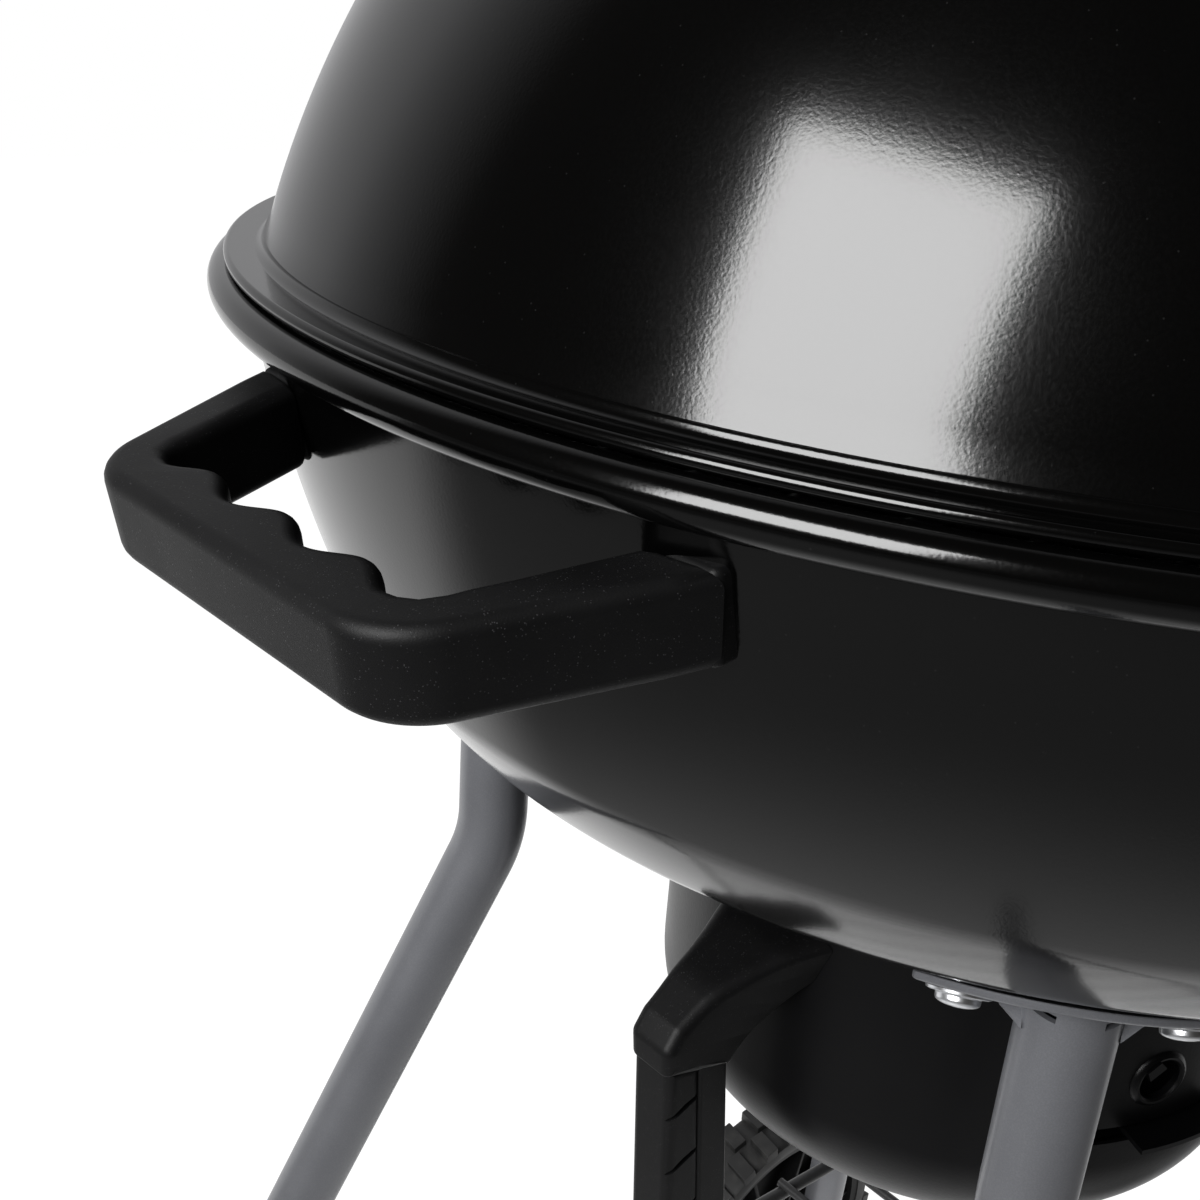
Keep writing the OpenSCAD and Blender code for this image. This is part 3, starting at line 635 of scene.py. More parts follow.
def lathe(name: str, profile: Sequence[Point], steps: int = 192, closed: bool = True) -> bpy.types.Object:
    """Turns a profile of (radius, height) about Z.

    Args:
        name: The piece's name.
        profile: Points in millimetres; a radius of 0 becomes one pole.
        steps: Segments round the axis.
        closed: Whether the last point joins the first.

    Returns:
        The turned piece, facing outward.
    """
    verts: list[Sequence[float]] = []
    rows: list[list[int]] = []
    for radius, height in profile:
        start = len(verts)
        if radius < 1e-6:
            verts.append((0.0, 0.0, height))
            rows.append([start] * steps)
            continue
        for i in range(steps):
            a = 2 * math.pi * i / steps
            verts.append((radius * math.cos(a), radius * math.sin(a), height))
        rows.append(list(range(start, start + steps)))
    faces = []
    pairs = list(zip(rows, rows[1:])) + ([(rows[-1], rows[0])] if closed else [])
    for low, high in pairs:
        for i in range(steps):
            j = (i + 1) % steps
            corners = [low[i], low[j], high[j], high[i]]
            unique = list(dict.fromkeys(corners))
            if len(unique) > 2:
                faces.append(unique)
    return outward(mesh_object(name, verts, faces))


def sweep(
    name: str,
    path: Sequence[Sequence[float]],
    radius: float | Sequence[float],
    sides: int = 32,
    bore: float = 0.0,
) -> bpy.types.Object:
    """Sweeps a round section along a path.

    Args:
        name: The piece's name.
        path: Centre points in millimetres.
        radius: One radius, or one for each point.
        sides: Sides of the section.
        bore: Radius of a hole through it, or 0 for a solid one.

    Returns:
        The swept piece.
    """
    centres = [Vector(p) for p in path]
    radii = list(radius) if isinstance(radius, (list, tuple)) else [radius] * len(centres)
    last = len(centres) - 1
    tangents = [(centres[min(i + 1, last)] - centres[max(i - 1, 0)]).normalized() for i in range(last + 1)]
    first = tangents[0].orthogonal().normalized()
    verts: list[Sequence[float]] = []
    rings: list[list[list[int]]] = [[], []]
    for i, centre in enumerate(centres):
        if i:
            first = (tangents[i - 1].rotation_difference(tangents[i]) @ first).normalized()
        second = tangents[i].cross(first)
        for shell, wide in enumerate((radii[i], bore)):
            if shell and not bore:
                continue
            start = len(verts)
            for s in range(sides):
                a = 2 * math.pi * s / sides
                verts.append(centre + first * (wide * math.cos(a)) + second * (wide * math.sin(a)))
            rings[shell].append(list(range(start, start + sides)))
    faces: list[Sequence[int]] = []
    for shell in rings:
        for low, high in zip(shell, shell[1:]):
            faces += [(low[s], low[(s + 1) % sides], high[(s + 1) % sides], high[s]) for s in range(sides)]
    for end in (0, -1):
        if bore:
            out, inn = rings[0][end], rings[1][end]
            faces += [(out[s], out[(s + 1) % sides], inn[(s + 1) % sides], inn[s]) for s in range(sides)]
        else:
            faces.append(rings[0][end])
    return outward(mesh_object(name, verts, faces))


def plate(
    name: str, outlines: Sequence[Sequence[Point]], thick: float, edge: float, rounds: int = 3
) -> bpy.types.Object:
    """A flat plate with rounded edges, centred on z = 0.

    Args:
        name: The piece's name.
        outlines: The outside loop first, then any holes, in millimetres.
        thick: Thickness in millimetres.
        edge: Radius of the rounded edges in millimetres.
        rounds: Segments of the rounding.

    Returns:
        The plate as a mesh.
    """
    curve = bpy.data.curves.new(name, "CURVE")
    curve.dimensions = "2D"
    curve.fill_mode = "BOTH"
    curve.extrude = (thick / 2 - edge) * MM
    curve.bevel_depth = edge * MM
    curve.bevel_resolution = rounds
    curve.offset = -edge * MM
    for outline in outlines:
        spline = curve.splines.new("POLY")
        spline.points.add(len(outline) - 1)
        for point, (x, y) in zip(spline.points, outline):
            point.co = (x * MM, y * MM, 0.0, 1.0)
        spline.use_cyclic_u = True
    obj = bpy.data.objects.new(name, curve)
    bpy.context.collection.objects.link(obj)
    bpy.context.view_layer.update()
    mesh = bpy.data.meshes.new_from_object(obj.evaluated_get(bpy.context.evaluated_depsgraph_get()))
    bpy.data.objects.remove(obj)
    made = bpy.data.objects.new(name, mesh)
    bpy.context.collection.objects.link(made)
    return outward(made)


def arc(centre: Point, radius: float, start: float, end: float, steps: int) -> Ring:
    """Points on an arc, both ends included, angles in degrees."""
    turns = [math.radians(start + (end - start) * i / steps) for i in range(steps + 1)]
    return [(centre[0] + radius * math.cos(t), centre[1] + radius * math.sin(t)) for t in turns]


def rounded(corners: Sequence[Point], radii: Sequence[float], steps: int = 8) -> Ring:
    """Rounds the corners of a closed outline.

    Args:
        corners: The outline's corners.
        radii: A radius for each corner; 0 keeps it sharp.
        steps: Segments of each round.

    Returns:
        The rounded outline.
    """
    out: Ring = []
    for i, (corner, radius) in enumerate(zip(corners, radii)):
        here, back, ahead = (np.array(corners[j % len(corners)], float) for j in (i, i - 1, i + 1))
        if radius <= 0:
            out.append(corner)
            continue
        to_back, to_ahead = ((v - here) / np.linalg.norm(v - here) for v in (back, ahead))
        half = math.acos(float(np.clip(to_back @ to_ahead, -1, 1))) / 2
        reach = radius / math.tan(half)
        middle = here + (to_back + to_ahead) / np.linalg.norm(to_back + to_ahead) * radius / math.sin(half)
        starts, ends = here + to_back * reach - middle, here + to_ahead * reach - middle
        a0 = math.atan2(starts[1], starts[0])
        by = (math.atan2(ends[1], ends[0]) - a0 + math.pi) % (2 * math.pi) - math.pi
        out += arc(tuple(middle), radius, math.degrees(a0), math.degrees(a0 + by), steps)
    return out


def dress(
    obj: bpy.types.Object, finish: Finish, body: Body, *nodes: str, angle: float = 35.0
) -> bpy.types.Object:
    """Gives a piece its finish, body and the CAD nodes it stands for.

    Args:
        obj: The piece.
        finish: Its finish, which also names its slot.
        body: The body it rides on.
        nodes: CAD nodes that it replaces.
        angle: Degrees from which its edges stay sharp.

    Returns:
        The same piece.
    """
    obj.data.materials.clear()
    obj.data.materials.append(finish.material())
    smooth(obj, angle)
    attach(obj, body.value)
    if nodes:
        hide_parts(*nodes)
    LOG.info("%s: %d faces", obj.name, len(obj.data.polygons))
    return obj


def keep(finish: Finish, *nodes: str) -> None:
    """Leaves CAD nodes as they are and gives them a finish."""
    for node in nodes:
        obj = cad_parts[node]
        for place_of in obj.material_slots:
            place_of.material = finish.material()
        LOG.info("%s keeps its shape", node)


# ---------------------------------------------------------------- kettle


@dataclass
class Lid:
    """The enamelled lid: flange, cove, dome and flatter crown."""

    edge_r: float = 231.0
    roll_r: float = 1.5
    wall: Point = (220.6, 4.4)
    cove_r: float = 2.5
    dome_c: Point = (-27.78, -66.73)
    dome_r: float = 258.42
    crown_tilt: float = 19.86
    crown_z: float = 10.19
    crown_r: float = 176.63
    sheet: float = 1.2

    def outer(self) -> Ring:
        """The outside of the lid from the flange to the crown."""
        roll = arc((self.edge_r - self.roll_r, 0.9), self.roll_r, -90, 80, 10)
        cove_c = (self.wall[0] + self.cove_r + 0.6, self.wall[1] - 0.2)
        cove = arc(cove_c, self.cove_r, -92, -184, 12)
        start = math.degrees(math.asin((self.wall[0] - self.dome_c[0]) / self.dome_r))
        dome = arc(self.dome_c, self.dome_r, 90.6 - start, 90 - self.crown_tilt, 71)
        crown = arc((0, self.crown_z), self.crown_r, 90 - self.crown_tilt, 90, 21)[1:]
        return roll + cove + dome + crown

    def on_dome(self, azimuth: float, tilt: float) -> Matrix:
        """The frame on the dome at a tilt about the arc's centre, +Z outward."""
        x = self.dome_c[0] + self.dome_r * math.sin(math.radians(tilt))
        z = RIM_Z + self.dome_c[1] + self.dome_r * math.cos(math.radians(tilt))
        return turn(azimuth) @ shift(x, 0, z) @ turn(tilt, "Y")

    def build(self) -> None:
        """Builds the shell with its vent holes."""
        outer = self.outer()
        inner = [(max(r - self.sheet * 0.75, 0.0), z - self.sheet) for r, z in outer[8:]]
        shell = place(lathe("lid_enamel", outer + inner[::-1], 256), shift(0, 0, RIM_Z))
        holes = []
        for i in range(5):
            hole = lathe("vent_tool", [(0, -9), (7, -9), (7, 9), (0, 9)], 40, False)
            holes.append(place(hole, self.on_dome(60, 27) @ turn(i * 72) @ shift(20, 0, 0)))
        dress(cut(shell, *holes), ENAMEL, Body.LID, "lid_shell")

    def handle(self) -> None:
        """Builds the bail handle over the crown as one swept moulding."""
        top, half, low, corner, ease = 1026.2, 38.0, 998.7, 15.0, 4.0
        straight = half - corner - ease
        line = [(-half, low), (-half, top - corner - ease)]
        line += arc((-half + corner, top - corner), corner, 180, 90, 10)
        line += [(x, top + 1.2 * math.cos(x / half * 1.2)) for x in np.linspace(-straight, straight, 9)]
        line += arc((half - corner, top - corner), corner, 90, 0, 10)
        line += [(half, top - corner - ease), (half, low)]
        path = [(x, 0, z) for x, z in line]
        radii = [9.0 + 1.8 * math.sin(math.pi * i / (len(path) - 1)) for i in range(len(path))]
        bar = bevel(sweep("lid_handle_bar", path, radii, 36), 1.2, 3, 60)
        dress(bar, PLASTIC, Body.LID, "lid_handle")


@dataclass
class Bowl:
    """The enamelled bowl: rolled rim, wall, two creases and a bottom opening."""

    bead_c: Point = (230.5, -5.5)
    bead_r: float = 4.5
    neck: Point = (226.0, -8.0)
    crease_1: Point = (203.0, -86.0)
    crease_2: Point = (184.3, -109.2)
    slope: float = 33.0
    cone_end_r: float = 100.0
    hole: Point = (60.0, -170.9)
    sheet: float = 1.2
    bulge: float = 1.2
    wall_end: float = -100.0

    def cone_z(self, r: float) -> float:
        """Height of the lower cone below the rim plane."""
        return self.crease_2[1] - (self.crease_2[0] - r) * math.tan(math.radians(self.slope))

    def skin_z(self, r: float) -> float:
        """Height of the cone's bulged outer skin below the rim plane."""
        return self.cone_z(r) - self.bulge / math.cos(math.radians(self.slope))

    def run(self, a: Point, b: Point, bulge: float, steps: int) -> Ring:
        """Points from a to b with a slight outward bulge."""
        a_v, b_v = np.array(a), np.array(b)
        along = b_v - a_v
        out = np.array([-along[1], along[0]]) / np.linalg.norm(along)
        out = out if out[0] > 0 else -out
        shares = np.linspace(0, 1, steps + 1)
        return [tuple(a_v + along * s + out * bulge * 4 * s * (1 - s)) for s in shares]

    def outer(self) -> Ring:
        """The outside of the bowl from the bead to the bottom opening."""
        cone_end = (self.cone_end_r, self.cone_z(self.cone_end_r))
        bead = arc(self.bead_c, self.bead_r, 60, -158, 30)
        wall = self.run(self.neck, self.crease_1, 2.2, 26)[1:-1]
        band = self.run(self.crease_1, self.crease_2, 0.5, 8)[1:-1]
        cone = self.run(self.crease_2, cone_end, self.bulge, 18)[1:-1]
        bottom = self.run(cone_end, self.hole, 1.0, 8)[1:]
        blend_1 = self._ease(wall[-1], self.crease_1, band[0])
        blend_2 = self._ease(band[-1], self.crease_2, cone[0])
        return bead + wall + blend_1 + band + blend_2 + cone + bottom

    def _ease(self, a: Point, peak: Point, b: Point) -> Ring:
        """A rounded corner through a pressed crease."""
        a_v, p_v, b_v = (np.array(v) for v in (a, peak, b))
        shares = (0.2, 0.35, 0.5, 0.65, 0.8)
        return [tuple((1 - t) ** 2 * a_v + 2 * t * (1 - t) * p_v + t * t * b_v) for t in shares]

    def build(self) -> None:
        """Builds the shell with the rolled bead closed on itself."""
        outer = self.outer()
        top = arc(self.bead_c, self.bead_r, 190, 60, 12)
        side, up = self.sheet * 0.85, (self.sheet * 0.9, self.sheet * 0.2)
        inner = [(r - side, z + up[z > self.wall_end]) for r, z in outer[31:]]
        shell = lathe("bowl_enamel", outer + inner[::-1] + top[:-1], 256)
        dress(place(shell, shift(0, 0, RIM_Z)), ENAMEL, Body.FRAME, "bowl_shell")

    def on_cone(self, azimuth: float, r: float, lift: float = 0.0) -> Matrix:
        """The frame on the cone under the bowl, +Z outward, lifted off it."""
        seat = turn(azimuth) @ shift(r, 0, RIM_Z + self.skin_z(r))
        return seat @ turn(180 - self.slope, "Y") @ shift(0, 0, lift)


# ---------------------------------------------------------------- fasteners


def cross_screw(name: str, washer_r: float, head_r: float, head_h: float) -> bpy.types.Object:
    """A pan-head screw with a pressed washer and a cross recess, seated at z = 0.

    Args:
        name: The piece's name.
        washer_r: Radius of the washer face.
        head_r: Radius of the pan head.
        head_h: Height of the pan head above the washer.

    Returns:
        The screw head with a short shank.
    """
    thick, shank_r, shank_l = 1.2, 2.4, 6.0
    top = thick + head_h
    rim = [(washer_r + x, z) for x, z in ((-0.5, 0), (0, 0.3), (-0.1, 0.9), (-0.7, 1.15))]
    rim.append((head_r + 0.35, thick))
    crown = [(head_r, 1.5)]
    for t in range(0, 90, 15):
        across, up = math.cos(math.radians(t)), math.sin(math.radians(t))
        crown.append((head_r * across, thick + head_h * (0.45 + 0.55 * up)))
    shank = [(0, -shank_l), (shank_r, -shank_l), (shank_r, 0)]
    head = lathe(name, shank + rim + crown + [(0, top)], 48, False)
    wide, long, deep = 0.55, head_r * 0.62, head_h * 0.75
    section = [(-long, -wide), (long, -wide), (long, wide), (-long, wide)]
    ends = ((top - deep, 0.55), (top + 1, 1.1))
    corners = [(x * s, y * s, z) for z, s in ends for x, y in section]
    return cut(head, *(place(prism("recess_tool", corners), turn(axis)) for axis in (20, 110)))


def many(name: str, pattern: bpy.types.Object, places: Sequence[Matrix]) -> bpy.types.Object:
    """Copies a pattern to several places and joins the copies into one piece."""
    copies = []
    for i, at in enumerate(places):
        copy = bpy.data.objects.new(f"{name}_{i}", pattern.data.copy())
        bpy.context.collection.objects.link(copy)
        copies.append(place(copy, at))
    bpy.data.objects.remove(pattern)
    return join(name, *copies)


# ---------------------------------------------------------------- towing handle


@dataclass
class TowHandle:
    """The towing handle with four finger grooves, its brackets and screws."""

    reach: float = 55.6
    half_front: float = 49.2
    half_back: float = 73.0
    tall: float = 19.2
    droop: float = 7.5
    pitch: float = 25.5
    wave: float = 2.4
    inner_u: float = 41.0
    grooved: float = 36.5
    corner_r: float = 19.0
    corner_u: float = 12.0
    bow: float = 0.9
    draft: float = 0.012

    def frame_of(self) -> Matrix:
        """+X outward from the bowl, z = 0 at the top face."""
        return shift(-212, 0, RIM_Z - 16.5) @ turn(180) @ turn(self.droop, "Y")

    def outer_half(self, u: float) -> float:
        """Half width of the outside at u."""
        return self.half_back + (self.half_front - self.half_back) * u / self.reach

    def inside(self) -> Ring:
        """The opening's edge from one arm across the finger grooves to the other."""
        across = np.linspace(-self.grooved, self.grooved, 75)
        grooves = [(self.inner_u - self.wave * math.cos(2 * math.pi * v / self.pitch), v) for v in across]
        corner = [(42.6, 39.4), (41.0, 42.0), (37.5, 43.9), (33.5, 45.0)]
        arm = [(27.0, 47.4), (19.0, 49.9), (5.6, 54.2)]
        right = corner + arm
        return [(u, -v) for u, v in right[::-1]] + grooves + right

    def build(self) -> None:
        """Builds the moulding with soft edges and a little draft."""
        end = [(4.0, 57.4), (2.6, 66.0), (3.0, self.outer_half(3.0) - 0.6)]
        near = [(self.corner_u, self.outer_half(self.corner_u)), (self.reach, self.half_front)]
        front = rounded(near + [(u, -v) for u, v in near[::-1]], [0, self.corner_r, self.corner_r, 0], 16)
        outline = self.inside() + end + front + [(u, -v) for u, v in end[::-1]]
        body = plate("tow_handle_body", [outline], self.tall, 3.4, 4)
        place(body, shift(0, 0, -self.tall / 2))
        self._crown(body)
        dress(place(body, self.frame_of()), PLASTIC, Body.FRAME, "tow_handle", angle=50)

    def _crown(self, body: bpy.types.Object) -> None:
        """Draws the lower face in a little and bows the front, as the moulding's draft does."""

        def work(bm: bmesh.types.BMesh) -> None:
            """Moves each vertex by its height and reach."""
            for v in bm.verts:
                down = -v.co.z / (self.tall * MM)
                u = v.co.x / (self.reach * MM)
                v.co.x -= self.bow * MM * down * max(u, 0) ** 2
                v.co.y *= 1.0 - self.draft * down

        edit(body, work)

    def brackets(self) -> None:
        """Builds the two moulded shoes between the arms and the bowl."""
        parts = []
        for side in Side:
            section = ((-12.5, 55.5), (4.4, 55.5), (4.4, 70.4), (-12.5, 70.4))
            corners = [(u, side.value * v) for u, v in section]
            shoe = plate("shoe", [rounded(corners, [0, 1.5, 2.0, 0], 4)], self.tall - 0.6, 1.6, 3)
            parts.append(place(shoe, self.frame_of() @ shift(0, 0, -self.tall / 2 + 0.2)))
        shoes = join("tow_handle_shoes", *parts)
        clear = [(0, -60), (214.5, -60), (225.2, -8), (225.4, 20), (0, 20)]
        hollow = place(lathe("bowl_tool", clear, 256, False), shift(0, 0, RIM_Z))
        dress(cut(shoes, hollow), PLASTIC, Body.FRAME, "tow_handle_brackets")


# ---------------------------------------------------------------- legs


@dataclass
class Leg:
    """One bent tube leg with its flange plate."""

    azimuth: float
    lean: float
    foot_z: float
    bowl: Bowl
    name: str
    r: float = 157.0
    bend_z: float = 610.0
    tube_r: float = 11.0
    wall: float = 1.5
    bend_r: float = 52.0
    screw_gap: float = 23.5

    def path(self) -> list[Vector]:
        """The centre line from the flange to the foot, in the leg's own plane."""
        lean = math.radians(self.lean)
        tangent = self.bend_r * math.tan(lean / 2)
        top = RIM_Z + self.bowl.skin_z(self.r) + 2.0
        points = [(self.r, top), (self.r, top - 14), (self.r, self.bend_z + tangent)]
        middle = (self.r + self.bend_r, self.bend_z + tangent)
        points += arc(middle, self.bend_r, 180, 180 + self.lean, 14)[1:]
        falls = [(self.bend_z - self.foot_z) * share for share in (0.3, 0.6, 1.0)]
        points += [(self.r + fall * math.tan(lean), self.bend_z - fall) for fall in falls]
        a = math.radians(self.azimuth)
        return [Vector((r * math.cos(a), r * math.sin(a), z)) for r, z in points]

    def build(self) -> None:
        """Builds the tube, with its upper end cut to the bowl's slope."""
        tube = sweep(f"leg_tube_{self.name}", self.path(), self.tube_r, 64, self.tube_r - self.wall)
        top = (RIM_Z + self.bowl.skin_z(self.r) + 1.9) * MM
        foot = self.foot_z * MM

        def work(bm: bmesh.types.BMesh) -> None:
            """Slides the end rings along the tube."""
            lean = math.tan(math.radians(self.lean))
            a = math.radians(self.azimuth)
            for v in bm.verts:
                reach = v.co.x * math.cos(a) + v.co.y * math.sin(a)
                if v.co.z > top:
                    v.co.z = (RIM_Z + self.bowl.skin_z(reach / MM) - 2.4) * MM
                elif v.co.z < foot + 0.012:
                    drop = v.co.z - foot
                    v.co.x += drop * lean * math.cos(a)
                    v.co.y += drop * lean * math.sin(a)
                    v.co.z = foot

        slots = []
        for spin in (45, 135, 225, 315):
            section = ((4, -3.3), (16, -3.3), (16, 3.3), (4, 3.3))
            slot = prism("slot_tool", [(x, y, z) for z in (-0.4, 1.5) for x, y in section])
            reach = self.r + 10.0 * math.cos(math.radians(spin))
            base = turn(self.azimuth) @ shift(self.r, 0, RIM_Z + self.bowl.skin_z(reach) - 3.6)
            slots.append(place(slot, base @ turn(spin)))
        dress(cut(edit(tube, work), *slots), SILVER, Body.FRAME, f"leg_{self.name}")
        self.flange()

    def screw_places(self) -> list[Matrix]:
        """The seats of the two screws through the flange, +Z outward."""
        spread = math.degrees(math.asin(self.screw_gap / self.r))
        ends = (self.azimuth - spread, self.azimuth + spread)
        return [self.bowl.on_cone(end, self.r, 2.1) @ turn(self.azimuth * 3) for end in ends]

    def flange(self) -> None:
        """Builds the lens plate that lies on the cone, with two gussets to the tube."""
        half_l, half_w, thick = 35.5, 17.0, 2.0
        lens = (half_l**2 + half_w**2) / (2 * half_w)
        tip = math.degrees(math.asin(half_l / lens))
        outer_side = arc((half_w - lens, 0), lens, -tip, tip, 40)[1:-1]
        loop = outer_side + [(-x, -y) for x, y in outer_side]
        outline = plate(f"leg_flange_{self.name}", [loop], thick, 0.6, 2)

        def cut_grid(bm: bmesh.types.BMesh) -> None:
            """Slices the plate finely so that it can lie on the cone."""
            for normal, half, count in ((Vector((0, 1, 0)), half_l, 12), (Vector((1, 0, 0)), half_w, 6)):
                for i in range(-count + 1, count):
                    slice_at(bm, normal * (i * half / count * MM), normal)

        def lay(bm: bmesh.types.BMesh) -> None:
            """Moves each vertex from the flat plate to the cone."""
            a0, steep = math.radians(self.azimuth), math.cos(math.radians(self.bowl.slope))
            for v in bm.verts:
                across, along, up = (c / MM for c in v.co)
                out = self.r + 1.0 + across
                a, r = a0 + math.atan2(along, out), math.hypot(out, along)
                drop = self.bowl.skin_z(r) - 0.1 - (thick / 2 + up) / steep
                v.co = Vector((r * math.cos(a), r * math.sin(a), RIM_Z + drop)) * MM

        edit(edit(outline, cut_grid), lay)
        base = self.bowl.on_cone(self.azimuth, self.r, thick)
        side = [(self.tube_r + x, z) for x, z in ((-0.6, -0.6), (4.6, -0.6), (4.2, 1.0), (-0.6, 5.4))]
        corners = [(x, y, z) for y in (-0.8, 0.8) for x, z in side]
        ribs = [place(prism("web", corners), base @ turn(spin)) for spin in (90, 270)]
        dress(join(outline.name, outline, *ribs), SILVER, Body.FRAME, f"flange_{self.name}")


# ---------------------------------------------------------------- ash pot


@dataclass
class AshPot:
    """The hanging ash pot with its vents, lever, arm and ribbed grip."""

    r: float = 97.0
    top: float = -168.9
    bottom: float = -272.9
    edge_r: float = 40.0
    grip_wide: float = 16.0
    sheet: float = 1.2
    vent_z: float = -203.9
    vent_r: float = 7.0
    slot: Point = (-224.9, -219.2)
    vents: tuple[float, ...] = (-111.0, 9.0, 129.0)

    def build(self) -> None:
        """Builds the pot with a rolled lip, embossed vents and the lever's slot."""
        outer = [(self.r, self.top - 1.2), (self.r, self.bottom + self.edge_r)]
        outer += arc((self.r - self.edge_r, self.bottom + self.edge_r), self.edge_r, 0, -90, 24)[1:]
        outer += [(r, self.bottom) for r in (36, 20, 8, 0)]
        inner = [(max(r - self.sheet, 0), max(z, self.bottom + self.sheet)) for r, z in outer[::-1]]
        lip = arc((self.r - 0.6, self.top - 0.9), 0.9, 180, 0, 8)
        pot = lathe("ash_pot_shell", outer + inner + lip, 192)
        seats = [turn(azimuth) @ shift(self.r, 0, self.vent_z) @ turn(90, "Y") for azimuth in self.vents]
        drill = [(0, -8), (self.vent_r, -8), (self.vent_r, 8), (0, 8)]
        tools = [place(lathe("hole_tool", drill, 40, False), at) for at in seats]
        low, high = self.slot
        slot_section = [(self.r - 5, low), (self.r + 5, low), (self.r + 5, high), (self.r - 5, high)]
        slot = lathe("slot_tool", slot_section, 192)
        self._sector(slot, self.vents[0] - 16, 44)
        cut(pot, *tools, slot)
        ring = [(6.7, -1.4), (6.7, 0.5), (7.2, 1.1), (7.9, 1.2), (8.8, 0.7), (9.4, -0.2), (9.4, -1.2)]
        key = [(x, y, z) for z in (-1.2, 1.9) for x, y in ((-7.4, -2.4), (-4, -3), (-4, 3), (-7.4, 2.4))]
        for at in seats:
            boss, catch = place(lathe("boss", ring, 64), at), place(prism("key", key), at @ turn(35))
            pot = join("ash_pot_shell", pot, boss, catch)
        dress(place(pot, shift(0, 0, RIM_Z)), POT_BLACK, Body.ASH_POT, "ash_pot")

    def _sector(self, ring: bpy.types.Object, start: float, wide: float) -> None:
        """Keeps one sector of a ring and closes its ends."""

        def work(bm: bmesh.types.BMesh) -> None:
            """Cuts with two planes through the axis."""
            for angle, sign in ((start, 1), (start + wide, -1)):
                a = math.radians(angle)
                normal = Vector((-math.sin(a), math.cos(a), 0)) * -sign
                slice_at(bm, (0, 0, 0), normal, True)
            loose = [e for e in bm.edges if e.is_boundary]
            bmesh.ops.holes_fill(bm, edges=loose)
            bmesh.ops.recalc_face_normals(bm, faces=bm.faces)

        edit(ring, work)

    def arm(self) -> None:
        """Builds the arm that flares where it meets the pot."""
        side = [
            (-86.0, -172.5), (-108.0, -175.5), (-129.5, -181.5), (-141.5, -189.0), (-145.6, -195.0),
            (-144.6, -203.5), (-134.0, -207.0), (-120.8, -210.5), (-114.5, -204.0), (-104.0, -197.0),
            (-86.0, -186.0),
        ]
        rounds = [0, 30, 26, 5, 4, 1.5, 4, 0.8, 10, 20, 0]
        arm = plate("ash_arm_moulding", [rounded(side, rounds, 6)], self.grip_wide, 3.2, 4)

        def flare(bm: bmesh.types.BMesh) -> None:
            """Widens the arm towards the pot."""
            for axis_x in np.linspace(-138, -88, 18):
                slice_at(bm, (axis_x * MM, 0, 0), (1, 0, 0))
            for v in bm.verts:
                share = min(max((v.co.x / MM + 140) / 48, 0), 1.1)
                high = min(max((v.co.y / MM + 200) / 24, 0), 1)
                v.co.z *= 1 + (0.5 + 1.1 * high) * share**1.5

        edit(arm, flare)
        place(arm, shift(0, 0, RIM_Z) @ turn(90, "X"))
        clear = [(0, -260), (self.r + 0.25, -260), (self.r + 0.25, -150), (0, -150)]
        hollow = place(lathe("pot_tool", clear, 192, False), shift(0, 0, RIM_Z))
        dress(cut(arm, hollow), PLASTIC, Body.ASH_POT, "ash_arm", angle=50)

    def grip(self) -> None:
        """Builds the grip: an inner strip and a segmented front half that wraps it."""
        top, low = -204.5, -318.9
        down = low - top
        inner, middle, outer = -121.0, -131.5, -143.0
        foot_in, foot_mid, foot_out = inner - 0.125 * (down + 3), middle - 0.10 * down, outer - 0.07 * down
        strip = [(middle - 1, top), (inner, top - 3), (foot_in, low), (foot_mid, low)]
        front = [(outer - 0.8, top + 3), (middle, top), (-129.0 - 0.095 * down, low), (foot_out, low)]
        wide = self.grip_wide
        parts = [
            plate("ash_grip_moulding", [rounded(strip, [0, 0.6, 8, 0], 8)], wide - 0.2, 1.3, 3),
            plate("front", [rounded(front, [0, 0, 0, 10], 8)], wide - 0.8, 3.0, 4),
        ]
        dents = []
        for i in range(5):
            z = top - 13.5 - 20.4 * i
            x = -138.6 - 0.085 * (z - top)
            for s in (-1, 1):
                dent = lathe("dent", [(0, -2.2), (3.4, -1.9), (6.0, -1.0), (7.0, 0), (0, 0.1)], 32, False)
                dents.append(place(dent, shift(x + 1.5, z, s * wide / 2) @ turn(18) @ turn(90, "X")))
        cut(parts[1], *dents)
        grip = join("ash_grip_moulding", *parts)
        dress(place(grip, shift(0, 0, RIM_Z) @ turn(90, "X")), PLASTIC, Body.ASH_POT, "ash_grip")


# ---------------------------------------------------------------- wheels


